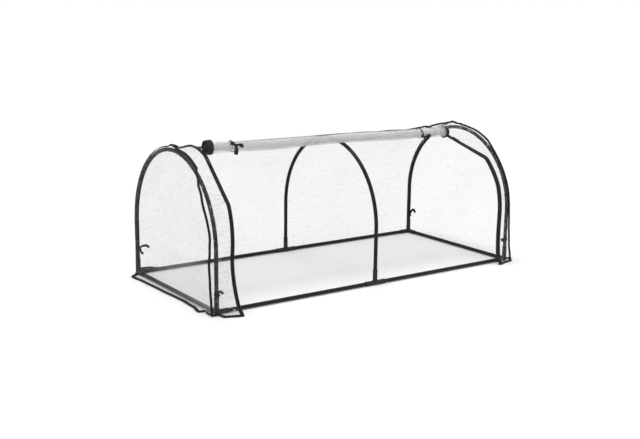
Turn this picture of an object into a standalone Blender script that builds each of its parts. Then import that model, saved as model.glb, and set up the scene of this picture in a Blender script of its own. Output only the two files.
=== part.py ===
"""Row cover tunnel: a low walk-round greenhouse for a garden bed.

Three steel hoops stand in plastic connectors on a rectangle of rails. A clear film cover goes over
them. Its front is a door between two zips, shown rolled up on top and tied. +X runs along the
tunnel, the door faces -Y, and the origin is on the ground below the middle. Lengths are in metres.
"""

import math

import bmesh
import bpy
from mathutils import Matrix, Vector

# Room between neighbouring pieces
GAP = 0.0003

# Hoops and rails
HOOP_SPACING = 0.89
ARCH_RADIUS = 0.403
SPRING_HEIGHT = 0.282
TUBE_RADIUS = 0.0095
TUBE_WALL = 0.0008
LEG_TOP_HEIGHT = 0.30
SPIGOT_RADIUS = 0.008
SPIGOT_LENGTH = 0.034
SPIGOT_SHOULDER = 0.002
ARCH_STEPS = 12
TUBE_RESOLUTION = 3
SHARP_EDGE_ANGLE = math.radians(40)

# Plastic connectors
SLEEVE_RADIUS = 0.0118
SOCKET_CLEARANCE = 0.0007
SOCKET_FLOOR = 0.013
RAIL_ARM_LENGTH = 0.058
UPRIGHT_ARM_LENGTH = 0.067
CONNECTOR_SIDES = 12

# Clear cover
FILM_THICKNESS = 0.0008
WALL_STEPS = 3
REAR_SKIRT_WIDTH = 0.030
REAR_FLARE_WIDTH = 0.0785
REAR_FLARE_LENGTH = 0.095
REAR_FLARE_FADE = 0.060
LEFT_SKIRT_WIDTH = 0.0475
RIGHT_SKIRT_WIDTH = 0.025
RIGHT_FLARE_WIDTH = 0.0475
RIGHT_FLARE_LENGTH = 0.050
LEFT_FLAP_WIDTH = 0.0785
RIGHT_FLAP_WIDTH = 0.0455
RIGHT_FLAP_CORNER_WIDTH = 0.022
SKIRT_CORNER = 0.012
HEM_WIDTH = 0.008
HEM_THICKNESS = 0.0026
BINDING_RADIUS = 0.0032
RIDGE_WIDTH = 0.010
RIDGE_THICKNESS = 0.0024
RIDGE_END_CLEARANCE = 0.0016
SEAM_FADE = 0.045
BAY_SAG = 0.006
PANEL_BELLY = 0.008
STRIP_MARGIN = 0.0044
ROW_SPACING = 0.012
END_TOP_HALF_WIDTH = 0.003
LONG_COLUMNS = 6
END_COLUMNS = 8
STRIP_COLUMNS = 5

# Where the slack end seams stand off the hoops
LEFT_SEAM_BULGE = 0.0285
LEFT_BULGE_FROM = math.radians(25)
LEFT_BULGE_TO = math.radians(58)
LEFT_PEAK = 0.012
LEFT_PEAK_SPREAD = math.radians(7.5)
RIGHT_PEAK = 0.018
RIGHT_PEAK_FRONT = (math.radians(85), math.radians(97))
RIGHT_PEAK_REAR = (math.radians(98.5), math.radians(108))

# Zips, with their places along the tunnel measured inwards from the end hoop
ZIP_WIDTH = 0.017
ZIP_THICKNESS = 0.0016
ZIP_EDGE_GAP = 0.0006
LEFT_ZIP_INSET = 0.080
LEFT_ZIP_TOP = math.radians(66)
LEFT_ZIP_KINK = math.radians(27.5)
LEFT_ZIP_LIFT = 0.010
LEFT_ZIP_WAIST_HEIGHT = 0.250
LEFT_ZIP_WAIST_DIP = 0.012
RIGHT_ZIP_RIDGE_INSET = 0.233
RIGHT_ZIP_TOP_INSET = 0.226
RIGHT_ZIP_KINK_INSET = 0.086
RIGHT_ZIP_SHOULDER_INSET = 0.061
RIGHT_ZIP_WAIST_INSET = 0.057
RIGHT_ZIP_FOOT_INSET = 0.068
RIGHT_ZIP_TOP = math.radians(66)
RIGHT_ZIP_KINK = math.radians(41)
RIGHT_ZIP_SHOULDER = math.radians(20)
RIGHT_ZIP_LIFT = 0.006
RIGHT_ZIP_WAIST_HEIGHT = 0.230
ZIP_FOOT_GAP = 0.0018

# Zip sliders and their pulls
SLIDER_WIDTH = 0.013
SLIDER_LENGTH = 0.022
SLIDER_HEIGHT = 0.0045
SLIDER_BEVEL = 0.0012
SLIDER_CLEARANCE = 0.0004
SLIDER_INSET = 0.014
EAR_THICKNESS = 0.0016
EAR_LENGTH = 0.004
PIN_RADIUS = 0.0009
PIN_HEIGHT = 0.0042
PULL_RING_RADIUS = 0.0026
PULL_RING_WIRE = 0.0009
PULL_LENGTH = 0.030
PULL_WIDTH = 0.009
PULL_THICKNESS = 0.0016
RING_STEPS = 12
RING_WIRE_STEPS = 6
PIN_STEPS = 8

# Rolled door, with its ends measured inwards from the end hoops
ROLL_RADIUS = 0.026
ROLL_CORE_RADIUS = 0.009
ROLL_TURNS = 5
ROLL_TURN_STEPS = 16
ROLL_ELEVATION = math.radians(70.5)
ROLL_LEFT_INSET = 0.1195
ROLL_RIGHT_INSET = 0.270
DOOR_DOWN_Y = -0.448
DOOR_DOWN_HEIGHT = 0.056
HEAD_END_GAP = 0.004
HEAD_COLUMNS = 4
HEAD_ROWS = 3
LEFT_DRUM_RADIUS = 0.036
LEFT_DRUM_WIDTH = 0.030
LEFT_DRUM_TURNS = 6
RIGHT_DRUM_RADIUS = 0.030
RIGHT_DRUM_WIDTH = 0.024
RIGHT_DRUM_TURNS = 5
DRUM_CORE_RADIUS = 0.010

# Fabric ties, with the roll's ties measured inwards from its ends
TIE_THICKNESS = 0.0012
TIE_WIDTH = 0.012
TIE_CLEARANCE = 0.0005
TIE_KNOT_RADIUS = 0.0055
TIE_TAIL_RADIUS = 0.0024
LEFT_TIE_INSET = 0.1205
RIGHT_TIE_INSET = 0.145
ROLL_KNOT_ANGLE = math.radians(140)
ROLL_BAND_STEPS = 20
STRAP_ANGLE = math.radians(60)
LEG_TIE_WIDTH = 0.011
LEG_KNOT_RADIUS = 0.0045
LEG_BAND_STEPS = 12
BALL_STEPS = 10
BALL_RINGS = 6
LEG_TIE_HEIGHTS = {
    ("left", "front"): 0.092,
    ("left", "rear"): 0.144,
    ("right", "front"): 0.105,
    ("right", "rear"): 0.130,
}

# The tails' bends from the knot on, across the tie, away from it and up, in shares of its width
ROLL_TAIL_SHARES = (
    ((-1.0, 0.0, 0.45), (-2.5, 0.0, 0.45)),
    ((1.0, 0.0, 0.25), (2.2, 0.0, -0.45)),
    ((0.0, 0.75, -0.65), (0.35, 1.9, -1.6)),
)
LEG_TAIL_SHARES = (
    ((1.0, 0.5), (2.4, -0.25)),
    ((0.5, -1.0), (1.0, -1.6)),
)

# What follows from the sizes above
RAIL_HEIGHT = SLEEVE_RADIUS
SOCKET_RADIUS = TUBE_RADIUS + SOCKET_CLEARANCE
TUBE_SEAT = SOCKET_FLOOR + GAP
SHELL_RADIUS = ARCH_RADIUS + SLEEVE_RADIUS + GAP + FILM_THICKNESS / 2
SHELL_LENGTH = SPRING_HEIGHT + SHELL_RADIUS * math.pi / 2
FILM_END_X = HOOP_SPACING + SLEEVE_RADIUS
PANEL_X = FILM_END_X + GAP + FILM_THICKNESS / 2
RIDGE_EDGE = SHELL_LENGTH - RIDGE_WIDTH / 2 - GAP
ROLL_RISE = SHELL_RADIUS + FILM_THICKNESS / 2 + TIE_THICKNESS + 2 * TIE_CLEARANCE + ROLL_RADIUS
ROLL_LEFT_X = ROLL_LEFT_INSET - HOOP_SPACING
ROLL_RIGHT_X = HOOP_SPACING - ROLL_RIGHT_INSET

SIDES = {"front": -1, "rear": 1}
ENDS = {"left": -1, "right": 1}
HOOPS = {"left": -HOOP_SPACING, "middle": 0.0, "right": HOOP_SPACING}


def clear_scene():
    """Remove every object of the startup scene."""
    for obj in list(bpy.data.objects):
        bpy.data.objects.remove(obj, do_unlink=True)


def make_collection(name):
    """Add a collection to the scene."""
    collection = bpy.data.collections.new(name)
    bpy.context.scene.collection.children.link(collection)
    return collection


def make_material(name, colour, roughness, metallic=0.0, alpha=1.0):
    """One Principled finish."""
    material = bpy.data.materials.new(name)
    material.use_nodes = True
    shader = material.node_tree.nodes["Principled BSDF"]
    shader.inputs["Base Color"].default_value = (*colour, 1.0)
    shader.inputs["Roughness"].default_value = roughness
    shader.inputs["Metallic"].default_value = metallic
    shader.inputs["Alpha"].default_value = alpha
    return material


def add_object(name, data, material, smooth=True):
    """Put a mesh or a curve in the scene as one sub-part."""
    obj = bpy.data.objects.new(name, data)
    PARTS.objects.link(obj)
    data.materials.clear()
    data.materials.append(material)
    if smooth and obj.type == "MESH":
        data.shade_smooth()
        data.set_sharp_from_angle(angle=SHARP_EDGE_ANGLE)
    return obj


def finish_mesh(bm, name):
    """Turn a bmesh into a mesh with its faces pointing out."""
    bmesh.ops.recalc_face_normals(bm, faces=bm.faces)
    mesh = bpy.data.meshes.new(name)
    bm.to_mesh(mesh)
    bm.free()
    return mesh


def pipe(name, points, radius, material, wall=0.0, shares=None, resolution=TUBE_RESOLUTION):
    """A tube along the points: hollow with a wall, or solid without one."""
    curve = bpy.data.curves.new(name, "CURVE")
    curve.dimensions = "3D"
    curve.bevel_depth = radius
    curve.bevel_resolution = resolution
    curve.use_fill_caps = not wall
    spline = curve.splines.new("POLY")
    spline.points.add(len(points) - 1)
    for index, place in enumerate(points):
        spline.points[index].co = (*place, 1.0)
        spline.points[index].radius = shares[index] if shares else 1.0
    obj = add_object(name, curve, material)
    if wall:
        shell = obj.modifiers.new("wall", "SOLIDIFY")
        shell.thickness = wall
        shell.offset = -1.0
        shell.use_even_offset = True
    return obj


def film(name, place, columns, rows, thickness, material):
    """A sheet whose grid points stand where place(column, row) says, given an even thickness."""
    bm = bmesh.new()
    bmesh.ops.create_grid(bm, x_segments=columns, y_segments=rows, size=1.0)
    for vert in bm.verts:
        column = round((vert.co.x + 1) / 2 * columns)
        row = round((vert.co.y + 1) / 2 * rows)
        vert.co = place(column, row)
    mesh = bpy.data.meshes.new(name)
    bm.to_mesh(mesh)
    bm.free()
    obj = add_object(name, mesh, material)
    wall = obj.modifiers.new("thickness", "SOLIDIFY")
    wall.thickness = thickness
    wall.offset = 0.0
    wall.use_even_offset = True
    return obj


def rod_mesh(start, end, radius, sides):
    """A closed cylinder between two points."""
    start = Vector(start)
    along = Vector(end) - start
    turn = along.to_track_quat("Z", "Y").to_matrix().to_4x4()
    bm = bmesh.new()
    bmesh.ops.create_cone(
        bm,
        cap_ends=True,
        segments=sides,
        radius1=radius,
        radius2=radius,
        depth=along.length,
        matrix=Matrix.Translation(start + along / 2) @ turn,
    )
    return finish_mesh(bm, "rod")


def block_mesh(size, centre, bevel=0.0):
    """A closed box, with its edges rounded where a bevel is given."""
    bm = bmesh.new()
    matrix = Matrix.Translation(centre) @ Matrix.Diagonal((*size, 1.0))
    bmesh.ops.create_cube(bm, size=1.0, matrix=matrix)
    if bevel:
        bmesh.ops.bevel(
            bm, geom=list(bm.edges), offset=bevel, segments=2, affect="EDGES", profile=0.5, material=-1
        )
    return finish_mesh(bm, "block")


def ball_mesh(centre, radius):
    """A closed ball."""
    bm = bmesh.new()
    bmesh.ops.create_uvsphere(
        bm, u_segments=BALL_STEPS, v_segments=BALL_RINGS, radius=radius, matrix=Matrix.Translation(centre)
    )
    return finish_mesh(bm, "ball")


def ring_mesh(ring_radius, wire_radius, sides):
    """A closed ring in the YZ plane round the origin."""
    bpy.ops.mesh.primitive_torus_add(
        major_segments=sides,
        minor_segments=RING_WIRE_STEPS,
        major_radius=ring_radius,
        minor_radius=wire_radius,
        rotation=(0, math.pi / 2, 0),
    )
    obj = bpy.context.object
    mesh = obj.data
    mesh.transform(obj.matrix_world)
    bpy.data.objects.remove(obj)
    return mesh


def band_mesh(centre, radius, width, thickness, axis, sides):
    """A closed band round an axis, such as a tape tied round a tube."""
    outer = rod_mesh(-axis * width / 2, axis * width / 2, radius + thickness, sides)
    inner = rod_mesh(-axis * width, axis * width, radius, sides)
    mesh = fuse([outer], [inner])
    mesh.transform(Matrix.Translation(centre))
    return mesh


def curve_mesh(points, radius, resolution=1):
    """A closed round cord along the points, as a mesh."""
    obj = pipe("cord", points, radius, BLACK_FABRIC, resolution=resolution)
    graph = bpy.context.evaluated_depsgraph_get()
    mesh = bpy.data.meshes.new_from_object(obj.evaluated_get(graph))
    bpy.data.objects.remove(obj)
    bm = bmesh.new()
    bm.from_mesh(mesh)
    bmesh.ops.remove_doubles(bm, verts=bm.verts, dist=GAP / 10)
    return finish_mesh(bm, "cord")


def fuse(solids, cuts=()):
    """One mesh from solids that overlap, less what the cuts take away."""
    base = bpy.data.objects.new("base", solids[0])
    CUTTERS.objects.link(base)
    helpers = []
    for operation, meshes in (("UNION", solids[1:]), ("DIFFERENCE", cuts)):
        for mesh in meshes:
            helper = bpy.data.objects.new("cutter", mesh)
            CUTTERS.objects.link(helper)
            helper.display_type = "WIRE"
            helper.hide_render = True
            helpers.append(helper)
            step = base.modifiers.new("step", "BOOLEAN")
            step.operation = operation
            step.object = helper
    graph = bpy.context.evaluated_depsgraph_get()
    mesh = bpy.data.meshes.new_from_object(base.evaluated_get(graph))
    for obj in [base, *helpers]:
        bpy.data.objects.remove(obj)
    return mesh


def smooth_step(value, low, high):
    """0 below low, 1 above high, and a soft ramp between them."""
    share = min(max((value - low) / (high - low), 0.0), 1.0)
    return share * share * (3 - 2 * share)


def arch_point(x, side, elevation, radius=ARCH_RADIUS):
    """A point on a hoop's bend, by its angle above the horizontal."""
    return Vector((x, side * radius * math.cos(elevation), SPRING_HEIGHT + radius * math.sin(elevation)))


def shell_point(x, side, along, lift=0.0):
    """A point of the cover, by its length up the cover's section from the ground."""
    if along <= SPRING_HEIGHT:
        return Vector((x, side * (SHELL_RADIUS + lift), along))
    return arch_point(x, side, (along - SPRING_HEIGHT) / SHELL_RADIUS, SHELL_RADIUS + lift)


def shell_along(elevation):
    """The length up the section at which the cover reaches an angle on the bend."""
    return SPRING_HEIGHT + SHELL_RADIUS * elevation


def shell_elevation(along):
    """The angle on the bend at a length up the section, and below zero on the wall."""
    return (along - SPRING_HEIGHT) / SHELL_RADIUS


def stations(top=SHELL_LENGTH):
    """The lengths up the section at which the cover's sheets have a row."""
    wall = [FILM_THICKNESS / 2] + [SPRING_HEIGHT * step / WALL_STEPS for step in range(1, WALL_STEPS)]
    bend = [shell_along(math.pi / 2 * step / ARCH_STEPS) for step in range(ARCH_STEPS)]
    return wall + bend + [top]


def seam_bulge(end, side, along):
    """How far the end seam hangs outboard of the hoop."""
    if end > 0 or side > 0:
        return 0.0
    return LEFT_SEAM_BULGE * (1 - smooth_step(shell_elevation(along), LEFT_BULGE_FROM, LEFT_BULGE_TO))


def seam_lift(end, side, along):
    """How far the end seam stands proud of the hoop."""
    elevation = shell_elevation(along)
    if end < 0:
        off_crown = math.pi / 2 - elevation
        return LEFT_PEAK * max(0.0, 1 - off_crown / LEFT_PEAK_SPREAD)
    if side > 0:
        elevation = math.pi - elevation
    rise = smooth_step(elevation, *RIGHT_PEAK_FRONT)
    return RIGHT_PEAK * rise * (1 - smooth_step(elevation, *RIGHT_PEAK_REAR))


def seam_point(end, side, along, lift=0.0):
    """A point on the cover's edge at an end."""
    x = end * (FILM_END_X + seam_bulge(end, side, along))
    return shell_point(x, side, along, seam_lift(end, side, along) + lift)


def between(low, high, share):
    """A point or a number part of the way from low to high."""
    return low + (high - low) * share


def front_edge_point(end, along):
    """A point on the front seam as the end panel has it, straight between its rows."""
    rows = stations()
    for low, high in zip(rows, rows[1:]):
        if along <= high:
            break
    share = (along - low) / (high - low)
    return between(seam_point(end, -1, low), seam_point(end, -1, high), share)


def rear_reach(x):
    """How far back the rear skirt lies on the ground. It flares at the left corner."""
    flare_end = REAR_FLARE_LENGTH - FILM_END_X
    share = 1 - smooth_step(x, flare_end, flare_end + REAR_FLARE_FADE)
    return SHELL_RADIUS + between(REAR_SKIRT_WIDTH, REAR_FLARE_WIDTH, share)


def end_reach(end, y):
    """How far out an end panel's skirt lies on the ground. The right one flares at its front corner."""
    if end < 0:
        return PANEL_X + LEFT_SKIRT_WIDTH
    corner = -SHELL_RADIUS + SKIRT_CORNER
    share = 1 - smooth_step(y, corner, corner + RIGHT_FLARE_LENGTH)
    return PANEL_X + between(RIGHT_SKIRT_WIDTH, RIGHT_FLARE_WIDTH, share)


def flap_width(end, share=1.0):
    """How wide a front flap lies on the ground, from its corner at share 0 to its zip at share 1."""
    if end < 0:
        return LEFT_FLAP_WIDTH
    return between(RIGHT_FLAP_CORNER_WIDTH, RIGHT_FLAP_WIDTH, share)


def zip_knots(end):
    """The zip's route as (length up the section, x, lift), from the ridge to the ground."""
    foot_lift = flap_width(end) - HEM_WIDTH - ZIP_FOOT_GAP
    if end < 0:
        knots = [
            (SHELL_LENGTH, LEFT_ZIP_INSET, 0.0),
            (shell_along(LEFT_ZIP_TOP), LEFT_ZIP_INSET, LEFT_ZIP_LIFT),
            (shell_along(LEFT_ZIP_KINK), LEFT_ZIP_INSET, LEFT_ZIP_LIFT),
            (LEFT_ZIP_WAIST_HEIGHT, LEFT_ZIP_INSET, -LEFT_ZIP_WAIST_DIP),
            (0.0, LEFT_ZIP_INSET, foot_lift),
        ]
    else:
        knots = [
            (SHELL_LENGTH, RIGHT_ZIP_RIDGE_INSET, 0.0),
            (shell_along(RIGHT_ZIP_TOP), RIGHT_ZIP_TOP_INSET, RIGHT_ZIP_LIFT),
            (shell_along(RIGHT_ZIP_KINK), RIGHT_ZIP_KINK_INSET, RIGHT_ZIP_LIFT),
            (shell_along(RIGHT_ZIP_SHOULDER), RIGHT_ZIP_SHOULDER_INSET, 0.0),
            (RIGHT_ZIP_WAIST_HEIGHT, RIGHT_ZIP_WAIST_INSET, 0.0),
            (0.0, RIGHT_ZIP_FOOT_INSET, foot_lift),
        ]
    return [(along, end * (HOOP_SPACING - inset), lift) for along, inset, lift in knots]


def zip_point(end, along):
    """A point on the middle of the zip. Its upper run, between top and kink, is straight."""
    knots = zip_knots(end)
    for index, (upper, lower) in enumerate(zip(knots, knots[1:])):
        if along >= lower[0]:
            break
    share = (upper[0] - along) / (upper[0] - lower[0])
    if index == 1:
        top, kink = zip_run(end)
        return between(top, kink, share)
    lift_share = share * share if lower[0] == 0 else share
    lift = between(upper[2], lower[2], lift_share)
    return shell_point(between(upper[1], lower[1], share), -1, along, lift)


def zip_run(end):
    """The top and the kink of the zip's straight upper run."""
    knots = zip_knots(end)
    return [shell_point(knot[1], -1, knot[0], knot[2]) for knot in knots[1:3]]


def bow_points(x, side, spigot):
    """The middle line of half a bend, from its leg to the crown and on along the spigot."""
    points = [Vector((x, side * ARCH_RADIUS, LEG_TOP_HEIGHT))]
    first = math.asin((LEG_TOP_HEIGHT - SPRING_HEIGHT) / ARCH_RADIUS)
    for step in range(1, ARCH_STEPS + 1):
        elevation = math.pi / 2 * step / ARCH_STEPS
        if elevation > first:
            points.append(arch_point(x, side, elevation))
    crown = points[-1]
    back = (points[-2] - crown).normalized()
    if not spigot:
        return points[:-1] + [crown + back * GAP]
    ahead = arch_point(x, side, math.pi / 2 * (1 + 1 / ARCH_STEPS))
    step = (ahead - crown).normalized()
    return points[:-1] + [crown + back * SPIGOT_SHOULDER, crown, crown + step * SPIGOT_LENGTH]


def make_leg(hoop, x, side_name, side):
    """A straight leg, with a drawn-in top end that the bow pushes onto."""
    bow_start, bow_next = bow_points(x, side, False)[:2]
    heights = (
        RAIL_HEIGHT + TUBE_SEAT,
        LEG_TOP_HEIGHT - GAP - SPIGOT_SHOULDER,
        LEG_TOP_HEIGHT - GAP,
    )
    points = [Vector((x, side * ARCH_RADIUS, height)) for height in heights]
    points.append(bow_start + (bow_next - bow_start).normalized() * SPIGOT_LENGTH / 2)
    neck = SPIGOT_RADIUS / TUBE_RADIUS
    shares = (1.0, 1.0, neck, neck)
    pipe(f"leg_{hoop}_{side_name}", points, TUBE_RADIUS, DARK_STEEL, TUBE_WALL, shares)


def make_bow(hoop, x, side_name, side):
    """Half a hoop's bend. The front bow has the spigot that joins the two at the crown."""
    spigot = side < 0
    points = bow_points(x, side, spigot)
    shares = [1.0] * len(points)
    if spigot:
        shares[-2:] = [SPIGOT_RADIUS / TUBE_RADIUS] * 2
    pipe(f"bow_{hoop}_{side_name}", points, TUBE_RADIUS, DARK_STEEL, TUBE_WALL, shares)


def make_rails():
    """The rails on the ground, pushed into the connectors at both ends."""
    for side_name, side in SIDES.items():
        for end_name, end in ENDS.items():
            y = side * ARCH_RADIUS
            points = [
                (end * TUBE_SEAT, y, RAIL_HEIGHT),
                (end * (HOOP_SPACING - TUBE_SEAT), y, RAIL_HEIGHT),
            ]
            pipe(f"rail_{side_name}_{end_name}", points, TUBE_RADIUS, DARK_STEEL, TUBE_WALL)
    for end_name, end in ENDS.items():
        reach = ARCH_RADIUS - TUBE_SEAT
        x = end * HOOP_SPACING
        points = [(x, -reach, RAIL_HEIGHT), (x, reach, RAIL_HEIGHT)]
        pipe(f"rail_{end_name}_end", points, TUBE_RADIUS, DARK_STEEL, TUBE_WALL)


def connector_mesh(sleeves, arms):
    """Sleeves that meet at the origin, each arm with a socket bored down to a solid middle."""
    solids = [ball_mesh((0, 0, 0), SLEEVE_RADIUS)]
    for inner, outer in sleeves:
        solids.append(rod_mesh(Vector(inner), Vector(outer), SLEEVE_RADIUS, CONNECTOR_SIDES))
    sockets = []
    for direction, length in arms:
        direction = Vector(direction)
        beyond = direction * (length + SLEEVE_RADIUS)
        sockets.append(rod_mesh(direction * SOCKET_FLOOR, beyond, SOCKET_RADIUS, CONNECTOR_SIDES))
    return fuse(solids, sockets)


def make_connectors():
    """A three-way connector under each hoop's foot."""
    middle = -SLEEVE_RADIUS / 2
    upright_sleeve = ((0, 0, middle), (0, 0, UPRIGHT_ARM_LENGTH))
    corner_sleeves = [((middle, 0, 0), (RAIL_ARM_LENGTH, 0, 0)), ((0, middle, 0), (0, RAIL_ARM_LENGTH, 0)), upright_sleeve]
    tee_sleeves = [((-RAIL_ARM_LENGTH, 0, 0), (RAIL_ARM_LENGTH, 0, 0)), upright_sleeve]
    upright = ((0, 0, 1), UPRIGHT_ARM_LENGTH)
    along = ((1, 0, 0), RAIL_ARM_LENGTH)
    corner = connector_mesh(corner_sleeves, [along, ((0, 1, 0), RAIL_ARM_LENGTH), upright])
    tee = connector_mesh(tee_sleeves, [along, ((-1, 0, 0), RAIL_ARM_LENGTH), upright])
    quarter_turns = {("left", "front"): 0, ("right", "front"): 1, ("right", "rear"): 2, ("left", "rear"): 3}
    for (end_name, side_name), turns in quarter_turns.items():
        obj = add_object(f"corner_{end_name}_{side_name}", corner, BLACK_PLASTIC)
        x = ENDS[end_name] * HOOP_SPACING
        obj.location = (x, SIDES[side_name] * ARCH_RADIUS, RAIL_HEIGHT)
        obj.rotation_euler.z = turns * math.pi / 2
    for side_name, side in SIDES.items():
        obj = add_object(f"tee_{side_name}", tee, BLACK_PLASTIC)
        obj.location = (0, side * ARCH_RADIUS, RAIL_HEIGHT)


def make_frame():
    """Every tube and connector of the steel frame."""
    for hoop, x in HOOPS.items():
        for side_name, side in SIDES.items():
            make_leg(hoop, x, side_name, side)
            make_bow(hoop, x, side_name, side)
    make_rails()
    make_connectors()


def cover_columns():
    """The places along the tunnel at which the long sheets have a column."""
    inner = FILM_END_X - SEAM_FADE
    middle = [between(-inner, inner, step / LONG_COLUMNS) for step in range(LONG_COLUMNS + 1)]
    flare_end = REAR_FLARE_LENGTH - FILM_END_X
    return sorted([-FILM_END_X, *middle, flare_end, flare_end + REAR_FLARE_FADE, FILM_END_X])


def long_sheet_point(x, side, along, lift=0.0):
    """A point of the cover between its ends, which rises near each end to the end seam."""
    share = max(0.0, (abs(x) - FILM_END_X + SEAM_FADE) / SEAM_FADE)
    return shell_point(x, side, along, lift + share * seam_lift(math.copysign(1, x), side, along))


def bay_sag(x, along):
    """How far the sheet sags inwards between two hoops, between the ground and the ridge."""
    across = math.sin(math.pi * x / HOOP_SPACING) ** 2
    return BAY_SAG * across * math.sin(math.pi * along / SHELL_LENGTH)


def make_back():
    """The rear sheet: its skirt on the ground, the rear wall and the bend up to the ridge seam."""
    columns = cover_columns()
    rows = stations(RIDGE_EDGE)

    def place(column, row):
        x = columns[column]
        if row == 0:
            return Vector((x, rear_reach(x) - HEM_WIDTH - GAP, FILM_THICKNESS / 2))
        return long_sheet_point(x, 1, rows[row - 1], -bay_sag(x, rows[row - 1]))

    film("cover_back", place, len(columns) - 1, len(rows), FILM_THICKNESS, CLEAR_FILM)


def make_end_panel(end_name, end):
    """The flat D of film that closes an end, with its skirt turned out on the ground."""
    rows = stations()
    edge_lift = FILM_THICKNESS / 2

    def place(column, row):
        share = column / END_COLUMNS
        along = rows[max(row - 1, 0)]
        front = seam_point(end, -1, along, edge_lift)
        rear = seam_point(end, 1, along, edge_lift)
        if row == len(rows):
            below = [seam_point(end, side, rows[-2], edge_lift) for side in (-1, 1)]
            front, rear = (between(front, low, END_TOP_HALF_WIDTH / abs(low.y)) for low in below)
        point = between(front, rear, share)
        front_pull = max(0.0, 1 - 2 * share) ** 2
        belly = PANEL_BELLY * math.sin(math.pi * share) * math.sin(math.pi * along / SHELL_LENGTH)
        point.x = end * (PANEL_X + belly + seam_bulge(end, -1, along) * front_pull)
        if row == 0:
            point.y *= 1 - SKIRT_CORNER / SHELL_RADIUS
            point.x = end * (end_reach(end, point.y) - HEM_WIDTH - GAP)
        return point

    film(f"end_panel_{end_name}", place, END_COLUMNS, len(rows), FILM_THICKNESS, CLEAR_FILM)


def strip_rows(end):
    """The lengths up the section at which a front strip and its zip have a row."""
    bends = [knot[0] for knot in zip_knots(end)[1:-1]]
    plain = [
        along for along in stations(RIDGE_EDGE) if all(abs(along - bend) > ROW_SPACING for bend in bends)
    ]
    return sorted(plain + bends)


def strip_point(end, column, along):
    """A point of a front strip, from the end seam at column 0 to the zip at the last one."""
    if column == 0:
        return front_edge_point(end, along)
    hoop = shell_point(end * (HOOP_SPACING - TUBE_RADIUS - STRIP_MARGIN), -1, along)
    edge = zip_point(end, along)
    edge.x += end * (ZIP_WIDTH / 2 + ZIP_EDGE_GAP)
    return between(hoop, edge, (column - 1) / (STRIP_COLUMNS - 1))


def flap_edge(end, column):
    """A point on the outer edge of a front flap's hem."""
    point = strip_point(end, column, FILM_THICKNESS / 2)
    point.y = -SHELL_RADIUS - flap_width(end, column / STRIP_COLUMNS)
    return point


def make_front_strip(end_name, end):
    """The front sheet between an end and its zip, from the ridge seam to its flap on the ground."""
    rows = strip_rows(end)

    def place(column, row):
        if row == 0:
            return flap_edge(end, column) + Vector((0, HEM_WIDTH + GAP, 0))
        return strip_point(end, column, rows[row - 1])

    film(f"front_strip_{end_name}", place, STRIP_COLUMNS, len(rows), FILM_THICKNESS, CLEAR_FILM)


def make_ridge_seam():
    """The black tape that joins the sheets along the ridge."""
    columns = cover_columns()
    columns[0] += BINDING_RADIUS + RIDGE_END_CLEARANCE
    columns[-1] -= BINDING_RADIUS + RIDGE_END_CLEARANCE

    def place(column, row):
        point = long_sheet_point(columns[column], -1, SHELL_LENGTH)
        point.y = between(-RIDGE_WIDTH / 2, RIDGE_WIDTH / 2, row)
        return point

    film("ridge_seam", place, len(columns) - 1, 1, RIDGE_THICKNESS, BLACK_FABRIC)


def make_end_binding(end_name, end):
    """The black binding round the edge of an end panel, from foot to foot."""
    lift = FILM_THICKNESS / 2 + 2 * GAP + BINDING_RADIUS
    rows = stations()
    rows[0] = FILM_THICKNESS + GAP
    front = [seam_point(end, -1, along, lift) for along in rows]
    rear = [seam_point(end, 1, along, lift) for along in reversed(rows[:-1])]
    pipe(f"end_binding_{end_name}", front + rear, BINDING_RADIUS, BLACK_FABRIC, resolution=1)


def make_hem(name, edge, inwards):
    """A flat black hem along the edge of a skirt, as wide as the step inwards."""
    step = Vector(inwards) * HEM_WIDTH

    def place(column, row):
        x, y = edge[column][:2]
        return Vector((x, y, HEM_THICKNESS / 2)) + step * row

    film(name, place, len(edge) - 1, 1, HEM_THICKNESS, BLACK_FABRIC)


def make_hems():
    """The hems of the skirts at the rear, the two ends and the two front flaps."""
    make_hem("hem_rear", [(x, rear_reach(x)) for x in cover_columns()], (0, -1, 0))
    half = SHELL_RADIUS - SKIRT_CORNER
    sides = [between(-half, half, column / END_COLUMNS) for column in range(END_COLUMNS + 1)]
    for end_name, end in ENDS.items():
        make_hem(f"hem_end_{end_name}", [(end * end_reach(end, y), y) for y in sides], (-end, 0, 0))
        edge = [flap_edge(end, column) for column in range(STRIP_COLUMNS + 1)]
        make_hem(f"hem_front_{end_name}", edge, (0, 1, 0))


def make_zip(end_name, end):
    """The zip tape on the edge of a front strip, from the ridge seam to the ground."""
    rows = [ZIP_THICKNESS, *strip_rows(end)[1:]]

    def place(column, row):
        point = zip_point(end, rows[row])
        point.x += between(-ZIP_WIDTH / 2, ZIP_WIDTH / 2, column)
        return point

    film(f"zip_{end_name}", place, 1, len(rows) - 1, ZIP_THICKNESS, BLACK_FABRIC)


def slider_frame(end):
    """The place of a zip slider: X across the zip, Y down it and Z out of it."""
    top, kink = zip_run(end)
    down = (kink - top).normalized()
    out = down.cross(Vector((1, 0, 0))).normalized()
    across = down.cross(out)
    origin = top + down * (SLIDER_INSET + SLIDER_LENGTH / 2) + out * (ZIP_THICKNESS / 2 + SLIDER_CLEARANCE)
    matrix = Matrix((across, down, out)).transposed().to_4x4()
    matrix.translation = origin
    return matrix


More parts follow.
